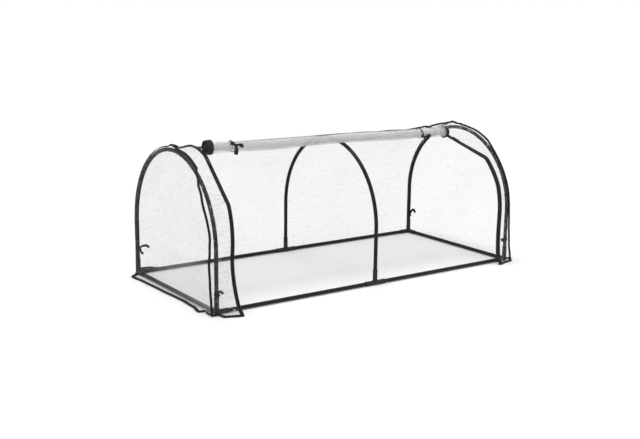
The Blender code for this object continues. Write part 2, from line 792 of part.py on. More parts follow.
def slider_mesh():
    """A zip slider: a rounded body with two ears that hold a pin across it."""
    body = block_mesh((SLIDER_WIDTH, SLIDER_LENGTH, SLIDER_HEIGHT), (0, 0, SLIDER_HEIGHT / 2), SLIDER_BEVEL)
    pin_z = SLIDER_HEIGHT + PIN_HEIGHT
    ear_top = pin_z + PIN_RADIUS * 2
    ear_foot = SLIDER_HEIGHT / 2
    ear_x = PULL_RING_WIRE + GAP * 2 + EAR_THICKNESS / 2
    ear_size = (EAR_THICKNESS, EAR_LENGTH, ear_top - ear_foot)
    ears = [block_mesh(ear_size, (side * ear_x, 0, (ear_top + ear_foot) / 2)) for side in (-1, 1)]
    pin = rod_mesh((-ear_x, 0, pin_z), (ear_x, 0, pin_z), PIN_RADIUS, PIN_STEPS)
    return fuse([body, *ears, pin])


def pull_mesh():
    """A zip pull: a ring round the slider's pin and a flat tab that hangs down the zip."""
    ring = ring_mesh(PULL_RING_RADIUS, PULL_RING_WIRE, RING_STEPS)
    neck_middle = PULL_RING_RADIUS + EAR_LENGTH / 2
    neck = block_mesh((PULL_RING_WIRE * 2, EAR_LENGTH, PULL_THICKNESS), (0, neck_middle, 0))
    tab_length = PULL_LENGTH - neck_middle
    tab = block_mesh((PULL_WIDTH, tab_length, PULL_THICKNESS), (0, neck_middle + tab_length / 2, 0))
    return fuse([ring, neck, tab])


def make_slider(end_name, end):
    """A zip slider near the top of its zip, and the pull that swings on its pin."""
    matrix = slider_frame(end)
    slider = add_object(f"zip_slider_{end_name}", slider_mesh(), ZIP_METAL)
    slider.matrix_world = matrix
    pull = add_object(f"zip_pull_{end_name}", pull_mesh(), ZIP_METAL)
    pull.matrix_world = matrix @ Matrix.Translation((0, 0, SLIDER_HEIGHT + PIN_HEIGHT))


def roll_centre():
    """The middle of the rolled door, on top of the hoops just in front of the ridge."""
    return arch_point(0, -1, ROLL_ELEVATION, ROLL_RISE)


def door_axis():
    """The axis that carries the roll from its rest to the ground and leaves it along the hoops."""
    start = roll_centre()
    travel = Vector((0, DOOR_DOWN_Y, DOOR_DOWN_HEIGHT)) - start
    inward = (Vector((0, 0, SPRING_HEIGHT)) - start).normalized()
    reach = travel.length_squared / (2 * travel.dot(inward))
    return start + inward * reach


def winding(name, left, right, core, outer, turns, thickness, material, pivot):
    """A sheet rolled up round the X axis, as one spiral from its core to its last turn."""
    steps = turns * ROLL_TURN_STEPS
    centre = roll_centre()
    last = ROLL_ELEVATION - math.pi
    rim = outer - thickness / 2

    def place(column, row):
        share = row / steps
        radius = between(core, rim, share)
        angle = last + 2 * math.pi * turns * (1 - share)
        x = between(left, right, column)
        y = -radius * math.cos(angle)
        return Vector((x, centre.y + y - pivot.y, centre.z + radius * math.sin(angle) - pivot.z))

    return film(name, place, 1, steps, thickness, material)


def make_roll(pivot):
    """The rolled door: its film, and the zip tape wound at each end of it."""
    pieces = [
        winding(
            "door_roll", ROLL_LEFT_X, ROLL_RIGHT_X, ROLL_CORE_RADIUS, ROLL_RADIUS, ROLL_TURNS,
            FILM_THICKNESS, CLEAR_FILM, pivot.location,
        ),
        winding(
            "door_zip_left", ROLL_LEFT_X - GAP - LEFT_DRUM_WIDTH, ROLL_LEFT_X - GAP, DRUM_CORE_RADIUS,
            LEFT_DRUM_RADIUS, LEFT_DRUM_TURNS, ZIP_THICKNESS, BLACK_FABRIC, pivot.location,
        ),
        winding(
            "door_zip_right", ROLL_RIGHT_X + GAP, ROLL_RIGHT_X + GAP + RIGHT_DRUM_WIDTH, DRUM_CORE_RADIUS,
            RIGHT_DRUM_RADIUS, RIGHT_DRUM_TURNS, ZIP_THICKNESS, BLACK_FABRIC, pivot.location,
        ),
    ]
    for piece in pieces:
        piece.parent = pivot


def make_door_head():
    """The top of the door, which runs from the ridge seam over the hoops to the roll."""
    low = shell_along(ROLL_ELEVATION) + HEAD_END_GAP

    def place(column, row):
        x = between(ROLL_LEFT_X, ROLL_RIGHT_X, column / HEAD_COLUMNS)
        return shell_point(x, -1, between(low, RIDGE_EDGE, row / HEAD_ROWS))

    film("door_head", place, HEAD_COLUMNS, HEAD_ROWS, FILM_THICKNESS, CLEAR_FILM)


def make_roll_tie(name, x, pivot):
    """A tape tied round the roll, with its knot and its two tails."""
    centre = roll_centre() - pivot.location
    centre.x = x
    inner = ROLL_RADIUS + TIE_CLEARANCE
    band = band_mesh(centre, inner, TIE_WIDTH, TIE_THICKNESS, Vector((1, 0, 0)), ROLL_BAND_STEPS)
    out = Vector((0, math.cos(ROLL_KNOT_ANGLE), math.sin(ROLL_KNOT_ANGLE)))
    knot = centre + out * (inner + TIE_KNOT_RADIUS)
    tails = [
        [knot] + [knot + Vector((across, -away, up)) * TIE_WIDTH for across, away, up in bends]
        for bends in ROLL_TAIL_SHARES
    ]
    cords = [curve_mesh(points, TIE_TAIL_RADIUS) for points in tails]
    mesh = fuse([band, ball_mesh(knot, TIE_KNOT_RADIUS), *cords])
    tie = add_object(name, mesh, BLACK_FABRIC)
    tie.parent = pivot


def make_tie_strap(name, x):
    """The sewn end of a roll tie, from the ridge seam to the band round the roll."""
    centre = roll_centre()
    reach = ROLL_RADIUS + TIE_CLEARANCE + TIE_THICKNESS * 1.5 + TIE_CLEARANCE
    end = centre + Vector((0, math.cos(STRAP_ANGLE), math.sin(STRAP_ANGLE))) * reach
    start = shell_point(0, -1, SHELL_LENGTH, RIDGE_THICKNESS / 2 + TIE_THICKNESS / 2 + GAP)

    def place(column, row):
        point = between(start, end, row)
        point.x = x + between(-TIE_WIDTH / 2, TIE_WIDTH / 2, column)
        return point

    film(name, place, 1, 1, TIE_THICKNESS, BLACK_FABRIC)


def make_leg_tie(end_name, side_name, height):
    """A tape tied round a leg inside the cover, with its knot and its two tails."""
    inboard = -ENDS[end_name]
    inner = TUBE_RADIUS + GAP * 2
    knot = Vector((inboard * (inner + LEG_KNOT_RADIUS), 0, 0))
    upright = Vector((0, 0, 1))
    band = band_mesh(Vector((0, 0, 0)), inner, LEG_TIE_WIDTH, TIE_THICKNESS, upright, LEG_BAND_STEPS)
    tails = [
        [knot] + [knot + Vector((inboard * away, 0, up)) * LEG_TIE_WIDTH for away, up in bends]
        for bends in LEG_TAIL_SHARES
    ]
    cords = [curve_mesh(points, TIE_TAIL_RADIUS) for points in tails]
    mesh = fuse([band, ball_mesh(knot, LEG_KNOT_RADIUS), *cords])
    tie = add_object(f"leg_tie_{end_name}_{side_name}", mesh, BLACK_FABRIC)
    tie.location = (ENDS[end_name] * HOOP_SPACING, SIDES[side_name] * ARCH_RADIUS, height)


def make_cover():
    """Every sheet, seam, hem, zip and tie of the cover."""
    make_back()
    make_ridge_seam()
    make_hems()
    for end_name, end in ENDS.items():
        make_end_panel(end_name, end)
        make_end_binding(end_name, end)
        make_front_strip(end_name, end)
        make_zip(end_name, end)
        make_slider(end_name, end)
    for (end_name, side_name), height in LEG_TIE_HEIGHTS.items():
        make_leg_tie(end_name, side_name, height)


def make_door():
    """The door, rolled up and tied, on an empty that stands on its axis."""
    pivot = bpy.data.objects.new("door_axis", None)
    PARTS.objects.link(pivot)
    pivot.location = door_axis()
    make_roll(pivot)
    make_door_head()
    places = {"left": ROLL_LEFT_X + LEFT_TIE_INSET, "right": ROLL_RIGHT_X - RIGHT_TIE_INSET}
    for name, x in places.items():
        make_roll_tie(f"roll_tie_{name}", x, pivot)
        make_tie_strap(f"tie_strap_{name}", x)


clear_scene()
PARTS = make_collection("row_cover_tunnel")
CUTTERS = make_collection("cutters")
DARK_STEEL = make_material("dark_steel", (0.045, 0.047, 0.050), 0.38, 0.55)
BLACK_PLASTIC = make_material("black_plastic", (0.022, 0.022, 0.024), 0.48)
CLEAR_FILM = make_material("clear_film", (0.90, 0.92, 0.93), 0.12, alpha=0.25)
BLACK_FABRIC = make_material("black_fabric", (0.016, 0.016, 0.017), 0.75)
ZIP_METAL = make_material("zip_metal", (0.030, 0.030, 0.032), 0.42, 0.4)
make_frame()
make_cover()
make_door()
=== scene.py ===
"""The finished look of the row cover tunnel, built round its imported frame.

A low tunnel for a garden bed: dark steel hoops in black plastic connectors, under a clear film cover
whose front is rolled up on top and tied. +X runs along the tunnel, the door faces -Y, the origin is
on the ground below the middle, and lengths are in metres.
"""

import logging
import math
from collections.abc import Callable, Sequence
from dataclasses import dataclass
from enum import Enum
from typing import ClassVar

import bmesh
import bpy
from mathutils import Matrix, Vector, noise


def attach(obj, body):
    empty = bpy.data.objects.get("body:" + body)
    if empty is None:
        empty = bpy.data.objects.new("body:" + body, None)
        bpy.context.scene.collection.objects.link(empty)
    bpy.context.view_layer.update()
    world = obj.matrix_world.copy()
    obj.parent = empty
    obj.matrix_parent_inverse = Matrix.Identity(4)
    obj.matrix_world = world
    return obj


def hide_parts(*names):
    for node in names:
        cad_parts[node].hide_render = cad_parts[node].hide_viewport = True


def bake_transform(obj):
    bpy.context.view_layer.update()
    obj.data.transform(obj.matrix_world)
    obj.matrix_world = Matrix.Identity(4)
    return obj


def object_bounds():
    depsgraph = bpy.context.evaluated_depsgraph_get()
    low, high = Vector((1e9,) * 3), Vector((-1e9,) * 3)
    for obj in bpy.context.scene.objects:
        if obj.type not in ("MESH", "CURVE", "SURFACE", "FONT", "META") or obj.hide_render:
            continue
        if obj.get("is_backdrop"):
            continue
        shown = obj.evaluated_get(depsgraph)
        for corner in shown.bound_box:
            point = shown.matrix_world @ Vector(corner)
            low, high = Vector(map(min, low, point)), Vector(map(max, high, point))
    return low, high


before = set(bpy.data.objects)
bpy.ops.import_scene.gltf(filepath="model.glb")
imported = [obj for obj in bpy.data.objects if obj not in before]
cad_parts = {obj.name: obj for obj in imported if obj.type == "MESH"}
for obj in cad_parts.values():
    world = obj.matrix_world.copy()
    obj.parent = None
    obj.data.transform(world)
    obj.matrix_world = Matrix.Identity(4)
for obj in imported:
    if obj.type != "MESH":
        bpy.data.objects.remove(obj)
CAD_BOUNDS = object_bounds()

log = logging.getLogger("row_cover_tunnel")

Place = Callable[[float, float], Vector]
Field = Callable[[float, float], float]
Pair = tuple[float, float]
Point = Sequence[float]
Ways = Sequence[Vector] | Vector
Bends = Sequence[tuple[float, float, float]]
Colour = tuple[float, float, float, float]
Values = dict[str | int, object]
Mesh = bpy.types.Mesh
Socket = bpy.types.NodeSocket
Outputs = bpy.types.NodeOutputs
Masks = dict[str, Socket]
X_AXIS = Vector((1.0, 0.0, 0.0))
Y_AXIS = Vector((0.0, 1.0, 0.0))
Z_AXIS = Vector((0.0, 0.0, 1.0))


class Named(Enum):
    """Something that the frame's nodes are named after."""

    @property
    def word(self) -> str:
        """Its name as the nodes have it."""
        return self.name.lower()


class Side(Named):
    """The long sides of the tunnel."""

    FRONT = -1
    REAR = 1


class End(Named):
    """The short ends of the tunnel."""

    LEFT = -1
    RIGHT = 1


class Hold(Enum):
    """How a sheet of film is held."""

    DRAPED = "draped"
    HUNG = "hung"
    FOLDED = "folded"
    STRETCHED = "stretched"


class Slot(Enum):
    """The material slots of the record."""

    TUBES = "tubes"
    CONNECTORS = "connectors"
    FILM = "film"
    BINDINGS = "bindings"
    ZIP_TAPE = "zip_tape"
    TIES = "ties"
    HARDWARE = "zip_hardware"


def between(low, high, share: float):
    """A number or a point part of the way from low to high."""
    return low + (high - low) * share


def spread(low, high, steps: int) -> list:
    """Numbers or points in even steps from low to high."""
    return [between(low, high, step / steps) for step in range(steps + 1)]


def new_object(name: str, data: bpy.types.ID) -> bpy.types.Object:
    """Put a new object in the scene."""
    obj = bpy.data.objects.new(name, data)
    bpy.context.scene.collection.objects.link(obj)
    return obj


def smooth_step(value: float, low: float, high: float) -> float:
    """0 below low, 1 above high, and a soft ramp between them."""
    share = min(max((value - low) / (high - low), 0.0), 1.0)
    return share * share * (3 - 2 * share)


def hump(share: float) -> float:
    """0 at both ends and 1 in the middle."""
    return math.sin(math.pi * share)


def along_knots(knots: Sequence[Pair], value: float) -> float:
    """Read a curve that is given by a few knots.

    Args:
        knots: Pairs of place and height, with the places rising.
        value: The place to read.

    Returns:
        The height there, on a soft line between the knots.
    """
    if value <= knots[0][0]:
        return knots[0][1]
    for (low, start), (high, stop) in zip(knots, knots[1:]):
        if value <= high:
            return between(start, stop, smooth_step(value, low, high))
    return knots[-1][1]


def ripple(x: float, y: float, z: float = 0.0) -> float:
    """Soft noise between about -1 and 1, the same in every run."""
    return noise.noise(Vector((x, y, z)))


def rounded(points: Sequence[Vector], steps: int) -> list[Vector]:
    """Run a smooth line through some points.

    Args:
        points: The points that the line passes.
        steps: How many short pieces to make between two of them.

    Returns:
        The points of the smooth line.
    """
    line = []
    last = len(points) - 1
    for index in range(last):
        before = points[max(index - 1, 0)]
        start, stop = points[index], points[index + 1]
        after = points[min(index + 2, last)]
        for step in range(steps):
            t = step / steps
            even = 2 * start + (stop - before) * t
            bent = (2 * before - 5 * start + 4 * stop - after) * t * t
            line.append((even + bent + (3 * start - before - 3 * stop + after) * t * t * t) / 2)
    line.append(points[last].copy())
    return line


@dataclass(frozen=True)
class Shell:
    """The cover's section and edges, which the film, the trim and the door all follow."""

    hoop_spacing: float = 0.89
    arch_radius: float = 0.403
    spring_height: float = 0.282
    tube_radius: float = 0.0095
    sleeve_radius: float = 0.0118
    sleeve_height: float = 0.079
    gap: float = 0.0003
    solid_film: float = 0.0008
    film: float = 0.0004
    seam_fade: float = 0.045
    rear_seam: float = 0.8925
    bay_sag: float = 0.006
    panel_belly: float = 0.008
    wrap: float = 0.0075
    hem_width: float = 0.0150
    skirt_corner: float = 0.012
    left_flap: float = 0.0785
    right_flap: float = 0.0455
    right_flap_corner: float = 0.022
    ridge_width: float = 0.010
    roll_elevation: float = math.radians(70.5)

    @property
    def radius(self) -> float:
        """The radius of the cover's bend."""
        return self.arch_radius + self.sleeve_radius + self.gap + self.solid_film / 2

    @property
    def tube_lift(self) -> float:
        """How far inside the section the film lies where it rests on the tubes."""
        return self.arch_radius + self.tube_radius + self.film - self.radius

    @property
    def length(self) -> float:
        """The cover's length from the ground up to the ridge."""
        return self.spring_height + self.radius * math.pi / 2

    @property
    def end_x(self) -> float:
        """How far out the long sheets end."""
        return self.hoop_spacing + self.sleeve_radius

    @property
    def panel_x(self) -> float:
        """How far out the end panels stand."""
        return self.end_x + self.gap + self.solid_film / 2

    @property
    def ridge_edge(self) -> float:
        """Where the sheets stop below the ridge seam."""
        return self.length - self.ridge_width / 2 - self.gap

    def along(self, elevation: float) -> float:
        """The length up the section at an angle on the bend."""
        return self.spring_height + self.radius * elevation

    def elevation(self, along: float) -> float:
        """The angle on the bend at a length up the section."""
        return (along - self.spring_height) / self.radius

    def point(self, x: float, side: float, along: float, lift: float = 0.0) -> Vector:
        """A point of the cover.

        Args:
            x: The place along the tunnel.
            side: -1 on the front and 1 on the rear.
            along: The length up the section from the ground.
            lift: How far out of the section the point stands.

        Returns:
            The point.
        """
        radius = self.radius + lift
        if along <= self.spring_height:
            return Vector((x, side * radius, along))
        return self.bend(x, side * radius, self.elevation(along))

    def bend(self, x: float, reach: float, angle: float) -> Vector:
        """A point on a bend of some radius, which is negative for the front half."""
        return Vector((x, reach * math.cos(angle), self.spring_height + abs(reach) * math.sin(angle)))

    def dip(self, x: float, along: float) -> float:
        """How far the film lies inside the section, on the tubes above the sleeves."""
        low = smooth_step(along, self.sleeve_height - 0.01, self.sleeve_height + 0.05)
        seam = 1 - smooth_step(abs(x), self.hoop_spacing - 0.004, self.end_x)
        return -self.tube_lift * low * seam

    def sag(self, x: float, along: float) -> float:
        """How far a sheet sags inwards between two hoops."""
        across = math.sin(math.pi * x / self.hoop_spacing) ** 2
        return self.bay_sag * across * math.sin(math.pi * min(along, self.length) / self.length)

    def ridge_lift(self, x: float, along: float) -> float:
        """How far the ridge sags or stands up along the tunnel, which fades out down the sides."""
        knots = (
            (-0.875, 0.0), (-0.852, -0.010), (-0.800, -0.004), (-0.786, -0.005), (-0.770, -0.0155),
            (-0.745, -0.0185), (-0.70, -0.014), (-0.62, -0.004), (-0.55, 0.0), (0.20, 0.0),
            (0.38, -0.006), (0.44, -0.008), (0.51, -0.0110), (0.56, -0.007), (0.60, -0.003),
            (0.645, 0.0), (0.675, -0.004), (0.70, 0.003), (0.76, 0.009), (0.85, 0.014), (0.905, 0.006),
        )
        off_crown = abs(math.pi / 2 - self.elevation(along))
        return along_knots(knots, x) * math.exp(-((off_crown / math.radians(9)) ** 2))

    def seam_x(self, end: float, side: float, along: float) -> float:
        """How far out the seam round an end lies. The left one hangs slack at the front."""
        if side > 0:
            return self.rear_seam
        angle = math.degrees(self.elevation(along))
        if end < 0:
            knots = (
                (-38.9, 0.9245), (-32.9, 0.9258), (-19.5, 0.9310), (-6.2, 0.9350), (2.4, 0.9309),
                (10.7, 0.9255), (19.2, 0.9287), (29.6, 0.9313), (40.6, 0.9224), (51.1, 0.9060),
                (57.5, 0.8875), (64.6, 0.8865), (74.0, 0.8875), (79.3, 0.8953), (86.0, 0.9020),
            )
        else:
            knots = (
                (-38.9, 0.9180), (-36.2, 0.9170), (-24.7, 0.9040), (-10.8, 0.8965), (3.6, 0.8910),
                (16.0, 0.8915), (25.5, 0.8900), (37.5, 0.8880), (47.0, 0.8890), (59.3, 0.9020),
                (70.0, 0.9018),
            )
        return along_knots(knots, angle)

    def seam_lift(self, end: float, side: float, along: float) -> float:
        """How far an end seam stands off the section, most at its peak near the ridge."""
        low = self.tube_lift
        knots = {
            (-1, 1): ((-32.0, 0.0), (-24.0, low), (84.0, low), (90.0, 0.0055)),
            (-1, -1): ((-32.0, 0.0), (55.0, 0.0), (60.0, low), (79.0, low), (87.0, 0.0085), (90.0, 0.0055)),
            (1, 1): ((70.0, 0.0), (76.4, 0.001), (82.1, 0.0145), (89.1, 0.002), (90.0, 0.0005)),
            (1, -1): ((45.0, 0.0), (59.0, low), (70.0, low), (79.0, -0.005), (87.0, -0.004), (90.0, 0.0005)),
        }
        return along_knots(knots[end, side], math.degrees(self.elevation(along)))

    def seam(self, end: float, side: float, along: float, lift: float = 0.0) -> Vector:
        """A point on the seam round an end."""
        x = end * self.seam_x(end, side, along)
        return self.point(x, side, along, self.seam_lift(end, side, along) + lift)

    def long_point(self, x: float, side: float, along: float, lift: float = 0.0) -> Vector:
        """A point of the long sheets, which go over near each end to the end seam."""
        share = smooth_step(abs(x), self.end_x - self.seam_fade, self.end_x)
        seam = self.seam_lift(math.copysign(1, x), side, along)
        return self.point(x, side, along, between(lift + self.ridge_lift(x, along), seam, share))

    def rear_reach(self, x: float) -> float:
        """How far back the rear skirt lies on the ground at x."""
        knots = ((-0.900, 0.4185), (-0.835, 0.4930), (-0.805, 0.4920), (-0.745, 0.4440))
        wave = 0.0013 * ripple(x * 9, 4.0) if x > -0.7 else 0.0
        return along_knots(knots, x) + wave

    def end_reach(self, end: float, y: float) -> float:
        """How far out the skirt of an end panel lies on the ground at y."""
        if end < 0:
            knots = (
                (-0.403, 0.927), (-0.372, 0.925), (-0.343, 0.912), (-0.332, 0.9485),
                (-0.2474, 0.9337), (-0.135, 0.9297), (0.063, 0.9367), (0.2615, 0.9420),
                (0.345, 0.9495), (0.358, 0.9490), (0.403, 0.908),
            )
            return along_knots(knots, y)
        share = 1 - smooth_step(y, -0.4022, -0.3522)
        wave = 0.0012 * (1 + ripple(y * 11, 7.0)) * (1 - share)
        return self.panel_x + between(0.0245, 0.0460, share) - wave

    def flap(self, end: float, share: float) -> float:
        """How wide a front flap lies on the ground, from its corner to its zip."""
        if end < 0:
            return along_knots(((0.0, 0.010), (0.30, 0.012), (0.36, 0.056), (1.0, self.left_flap)), share)
        return between(self.right_flap_corner, self.right_flap, share)


@dataclass(frozen=True)
class ZipRoute:
    """The way that one of the two door zips takes, from the ridge to the ground."""

    shell: Shell
    end: End
    width: float
    thickness: float = 0.0016
    slider_inset: float = 0.014
    slider_gap: float = 0.0004
    slider_length: float = 0.022
    slider_height: float = 0.0045
    pin_height: float = 0.0042

    def knots(self) -> list[tuple[float, float, float]]:
        """The route's bends, as the length up the section, how far inboard of the hoop, and lift."""
        shell = self.shell
        if self.end is End.LEFT:
            rows = [
                (shell.length, 0.097, 0.0), (shell.along(math.radians(66)), 0.080, 0.010),
                (shell.along(math.radians(27.5)), 0.080, 0.010), (0.250, 0.080, -0.012),
                (0.035, 0.079, 0.046), (0.0, 0.081, 0.080),
            ]
        else:
            rows = [
                (shell.length, 0.233, 0.0), (shell.along(math.radians(66)), 0.226, 0.006),
                (shell.along(math.radians(41)), 0.086, 0.006), (shell.along(math.radians(20)), 0.062, 0.0),
                (0.230, 0.064, 0.0), (0.045, 0.074, 0.014), (0.0, 0.084, 0.050),
            ]
        return [(along, self.end.value * (shell.hoop_spacing - inset), lift) for along, inset, lift in rows]

    def raw_point(self, along: float) -> Vector:
        """A point of the route before its bends are rounded."""
        knots = self.knots()
        index = 0
        for index, lower in enumerate(knots[1:]):
            if along >= lower[0]:
                break
        upper, lower = knots[index], knots[index + 1]
        share = (upper[0] - along) / (upper[0] - lower[0])
        if index == 1:
            top, kink = self.run()
            return between(top, kink, share)
        lift = between(upper[2], lower[2], share * share if lower is knots[-2] else share)
        return self.shell.point(between(upper[1], lower[1], share), -1, along, lift)

    def point(self, along: float) -> Vector:
        """A point on the middle of the zip tape, with its bends a little rounded."""
        reach = min(0.011, along, self.shell.length - along)
        if reach <= 0:
            return self.raw_point(along)
        steps = (-1.0, -0.5, 0.0, 0.5, 1.0)
        spots = [self.raw_point(along + reach * step) for step in steps]
        return sum(spots, Vector()) / len(spots)

    def across(self, along: float) -> Vector:
        """The way across the tape at a place, towards the near end of the tunnel."""
        ahead = (self.point(along + 0.004) - self.point(along - 0.004)).normalized()
        angle = max(self.shell.elevation(along), 0.0)
        out = Vector((0.0, -math.cos(angle), math.sin(angle)))
        across = ahead.cross(out)
        across = (across - ahead * across.dot(ahead)).normalized()
        return across if across.x * self.end.value > 0 else -across

    def run(self) -> list[Vector]:
        """The top and the foot of the zip's straight upper run."""
        return [self.shell.point(knot[1], -1, knot[0], knot[2]) for knot in self.knots()[1:3]]

    def slider_frame(self) -> Matrix:
        """The slider's place: X across the zip, Y down it and Z out of it."""
        top, kink = self.run()
        down = (kink - top).normalized()
        out = down.cross(X_AXIS).normalized()
        across = down.cross(out)
        matrix = Matrix((across, down, out)).transposed().to_4x4()
        reach = self.slider_inset + self.slider_length / 2
        matrix.translation = top + down * reach + out * (self.thickness / 2 + self.slider_gap)
        return matrix


class Kit:
    """Mesh shapes that the pieces are made from."""

    @staticmethod
    def mesh(bm: bmesh.types.BMesh, name: str, smooth: bool = True, recalculate: bool = True) -> Mesh:
        """Turn a bmesh into a mesh.

        Args:
            bm: The bmesh, which is freed.
            name: The mesh's name.
            smooth: Whether its faces are shaded smooth.
            recalculate: Whether its faces are turned to point outwards first.

        Returns:
            The mesh.
        """
        if recalculate:
            bmesh.ops.recalc_face_normals(bm, faces=bm.faces)
        for face in bm.faces:
            face.smooth = smooth
        mesh = bpy.data.meshes.new(name)
        bm.to_mesh(mesh)
        bm.free()
        return mesh

    @staticmethod
    def sheet(
        name: str, columns: int, rows: int, place: Place, size: Pair,
        swell: Field | None = None, dense_edges: bool = False,
    ) -> Mesh:
        """Make a sheet from a flat grid.

        Args:
            name: The mesh's name.
            columns: The grid's faces across.
            rows: The grid's faces along.
            place: Where a point goes, from its shares across and along.
            size: The flat sheet's width and length, for its UV map.
            swell: How far a point then moves out of the sheet, from the same shares.
            dense_edges: Whether the columns draw together near the two long edges.

        Returns:
            The sheet's mesh, one layer thick.
        """
        bm = bmesh.new()
        uv_layer = bm.loops.layers.uv.new("Flat")
        bmesh.ops.create_grid(bm, x_segments=columns, y_segments=rows, size=1.0)
        shares = {
            vert: (round((vert.co.x + 1) / 2 * columns) / columns, round((vert.co.y + 1) / 2 * rows) / rows)
            for vert in bm.verts
        }
        if dense_edges:
            for vert, (across, along) in shares.items():
                shares[vert] = ((1 - math.cos(math.pi * across)) / 2, along)
        for vert, (across, along) in shares.items():
            vert.co = place(across, along)
        for face in bm.faces:
            for loop in face.loops:
                across, along = shares[loop.vert]
                loop[uv_layer].uv = (across * size[0], along * size[1])
        if swell:
            bm.normal_update()
            moves = {vert: vert.normal * swell(*share) for vert, share in shares.items()}
            for vert, move in moves.items():
                vert.co += move
        return Kit.mesh(bm, name, recalculate=False)

    @staticmethod
    def turned(path: Sequence[Vector], normals: Ways) -> list[Matrix]:
        """Stand a frame on each point of a path.

        Args:
            path: The path's points.
            normals: The way that the frame's Y axis faces, for all points or for each.

        Returns:
            The frames, with Z along the path.
        """
        frames = []
        for index, spot in enumerate(path):
            ahead = path[min(index + 1, len(path) - 1)] - path[max(index - 1, 0)]
            ahead.normalize()
            normal = normals if isinstance(normals, Vector) else normals[index]
            normal = (normal - ahead * normal.dot(ahead)).normalized()
            across = normal.cross(ahead)
            matrix = Matrix((across, normal, ahead)).transposed().to_4x4()
            matrix.translation = spot
            frames.append(matrix)
        return frames

    @staticmethod
    def sweep(
        name: str, frames: Sequence[Matrix], sizes: Sequence[Pair], sides: int = 24,
        flatness: float = 1.0, capped: bool = True,
    ) -> Mesh:
        """Draw a section along a path, ring by ring.

        Args:
            name: The mesh's name.
            frames: A frame for each ring.
            sizes: The section's half width and half thickness at each ring.
            sides: The section's sides.
            flatness: 1 for an ellipse, and below it for a section with flatter sides.
            capped: Whether its ends are closed.

        Returns:
            The mesh, with a UV map of girth and length in metres.
        """
        bm = bmesh.new()
        uv_layer = bm.loops.layers.uv.new("Flat")
        length_layer = bm.verts.layers.float.new("length")
        turn_layer = bm.verts.layers.float.new("turn")
        ring = bmesh.ops.create_circle(bm, cap_ends=False, segments=sides, radius=1.0)["verts"]
        girth = math.pi * sum(sum(size) for size in sizes) / len(sizes)
        for vert in ring:
            angle = math.atan2(vert.co.y, vert.co.x) % (2 * math.pi)
            vert[turn_layer] = round(angle / (2 * math.pi) * sides) % sides / sides
            vert.co.x = math.copysign(abs(vert.co.x) ** flatness, vert.co.x)
            vert.co.y = math.copysign(abs(vert.co.y) ** flatness, vert.co.y)
        placed = [matrix @ Matrix.Diagonal((*size, 1.0, 1.0)) for matrix, size in zip(frames, sizes)]
        bmesh.ops.transform(bm, matrix=placed[0], verts=ring)
        edges = list(bm.edges)
        travelled = 0.0
        for index in range(1, len(placed)):
            made = bmesh.ops.extrude_edge_only(bm, edges=edges)["geom"]
            ring = [item for item in made if isinstance(item, bmesh.types.BMVert)]
            edges = [item for item in made if isinstance(item, bmesh.types.BMEdge)]
            bmesh.ops.transform(bm, matrix=placed[index] @ placed[index - 1].inverted(), verts=ring)
            travelled += (frames[index].translation - frames[index - 1].translation).length
            for vert in ring:
                vert[length_layer] = travelled
        if capped:
            bmesh.ops.holes_fill(bm, edges=[edge for edge in bm.edges if edge.is_boundary], sides=0)
        for face in bm.faces:
            turns = [loop.vert[turn_layer] for loop in face.loops]
            wraps = max(turns) > 0.5 and min(turns) == 0.0
            for loop, turn in zip(face.loops, turns):
                turn = 1.0 if wraps and turn == 0.0 else turn
                loop[uv_layer].uv = (turn * girth, loop.vert[length_layer])
        return Kit.mesh(bm, name)

    @staticmethod
    def ribbon(
        name: str, path: Sequence[Vector], facing: Ways, width: float, thickness: float,
        widths: Sequence[float] | None = None,
    ) -> Mesh:
        """Draw a flat tape along a path.

        Args:
            name: The mesh's name.
            path: The tape's middle line.
            facing: The way that its flat side faces.
            width: Its width.
            thickness: Its thickness.
            widths: Its width at each point as a share of the width, where it changes.

        Returns:
            The tape's mesh.
        """
        shares = widths or [1.0] * len(path)
        sizes = [(width / 2 * share, thickness / 2) for share in shares]
        return Kit.sweep(name, Kit.turned(path, facing), sizes, sides=12, flatness=0.45)

    @staticmethod
    def tail(
        path: Sequence[Vector], facing: Ways, width: float, thickness: float,
        shares: Pair, full: float,
    ) -> Mesh:
        """Draw a tape's loose end, which widens from its knot until it is full at a share of its length."""
        last = len(path) - 1
        widths = [between(*shares, smooth_step(index / last, 0.1, full)) for index in range(last + 1)]
        return Kit.ribbon("tail", path, facing, width, thickness, widths)

    @staticmethod
    def bevel(bm: bmesh.types.BMesh, edges: list[bmesh.types.BMEdge], size: float, segments: int) -> None:
        """Round some edges."""
        values = {"affect": "EDGES", "profile": 0.5, "material": -1}
        bmesh.ops.bevel(bm, geom=edges, offset=size, segments=segments, **values)

    @staticmethod
    def block(size: Sequence[float], centre: Sequence[float], bevel: float, segments: int = 3) -> Mesh:
        """A box with rounded edges."""
        bm = bmesh.new()
        matrix = Matrix.Translation(centre) @ Matrix.Diagonal((*size, 1.0))
        bmesh.ops.create_cube(bm, size=1.0, matrix=matrix)
        Kit.bevel(bm, list(bm.edges), bevel, segments)
        return Kit.mesh(bm, "block")

    @staticmethod
    def rod(start: Point, stop: Point, radii: Pair, sides: int = 32) -> Mesh:
        """A closed straight rod, with a radius at each end."""
        start = Vector(start)
        along = Vector(stop) - start
        turn = along.to_track_quat("Z", "Y").to_matrix().to_4x4()
        bm = bmesh.new()
        bmesh.ops.create_cone(
            bm, cap_ends=True, segments=sides, radius1=radii[0], radius2=radii[1], depth=along.length,
            matrix=Matrix.Translation(start + along / 2) @ turn,
        )
        return Kit.mesh(bm, "rod")

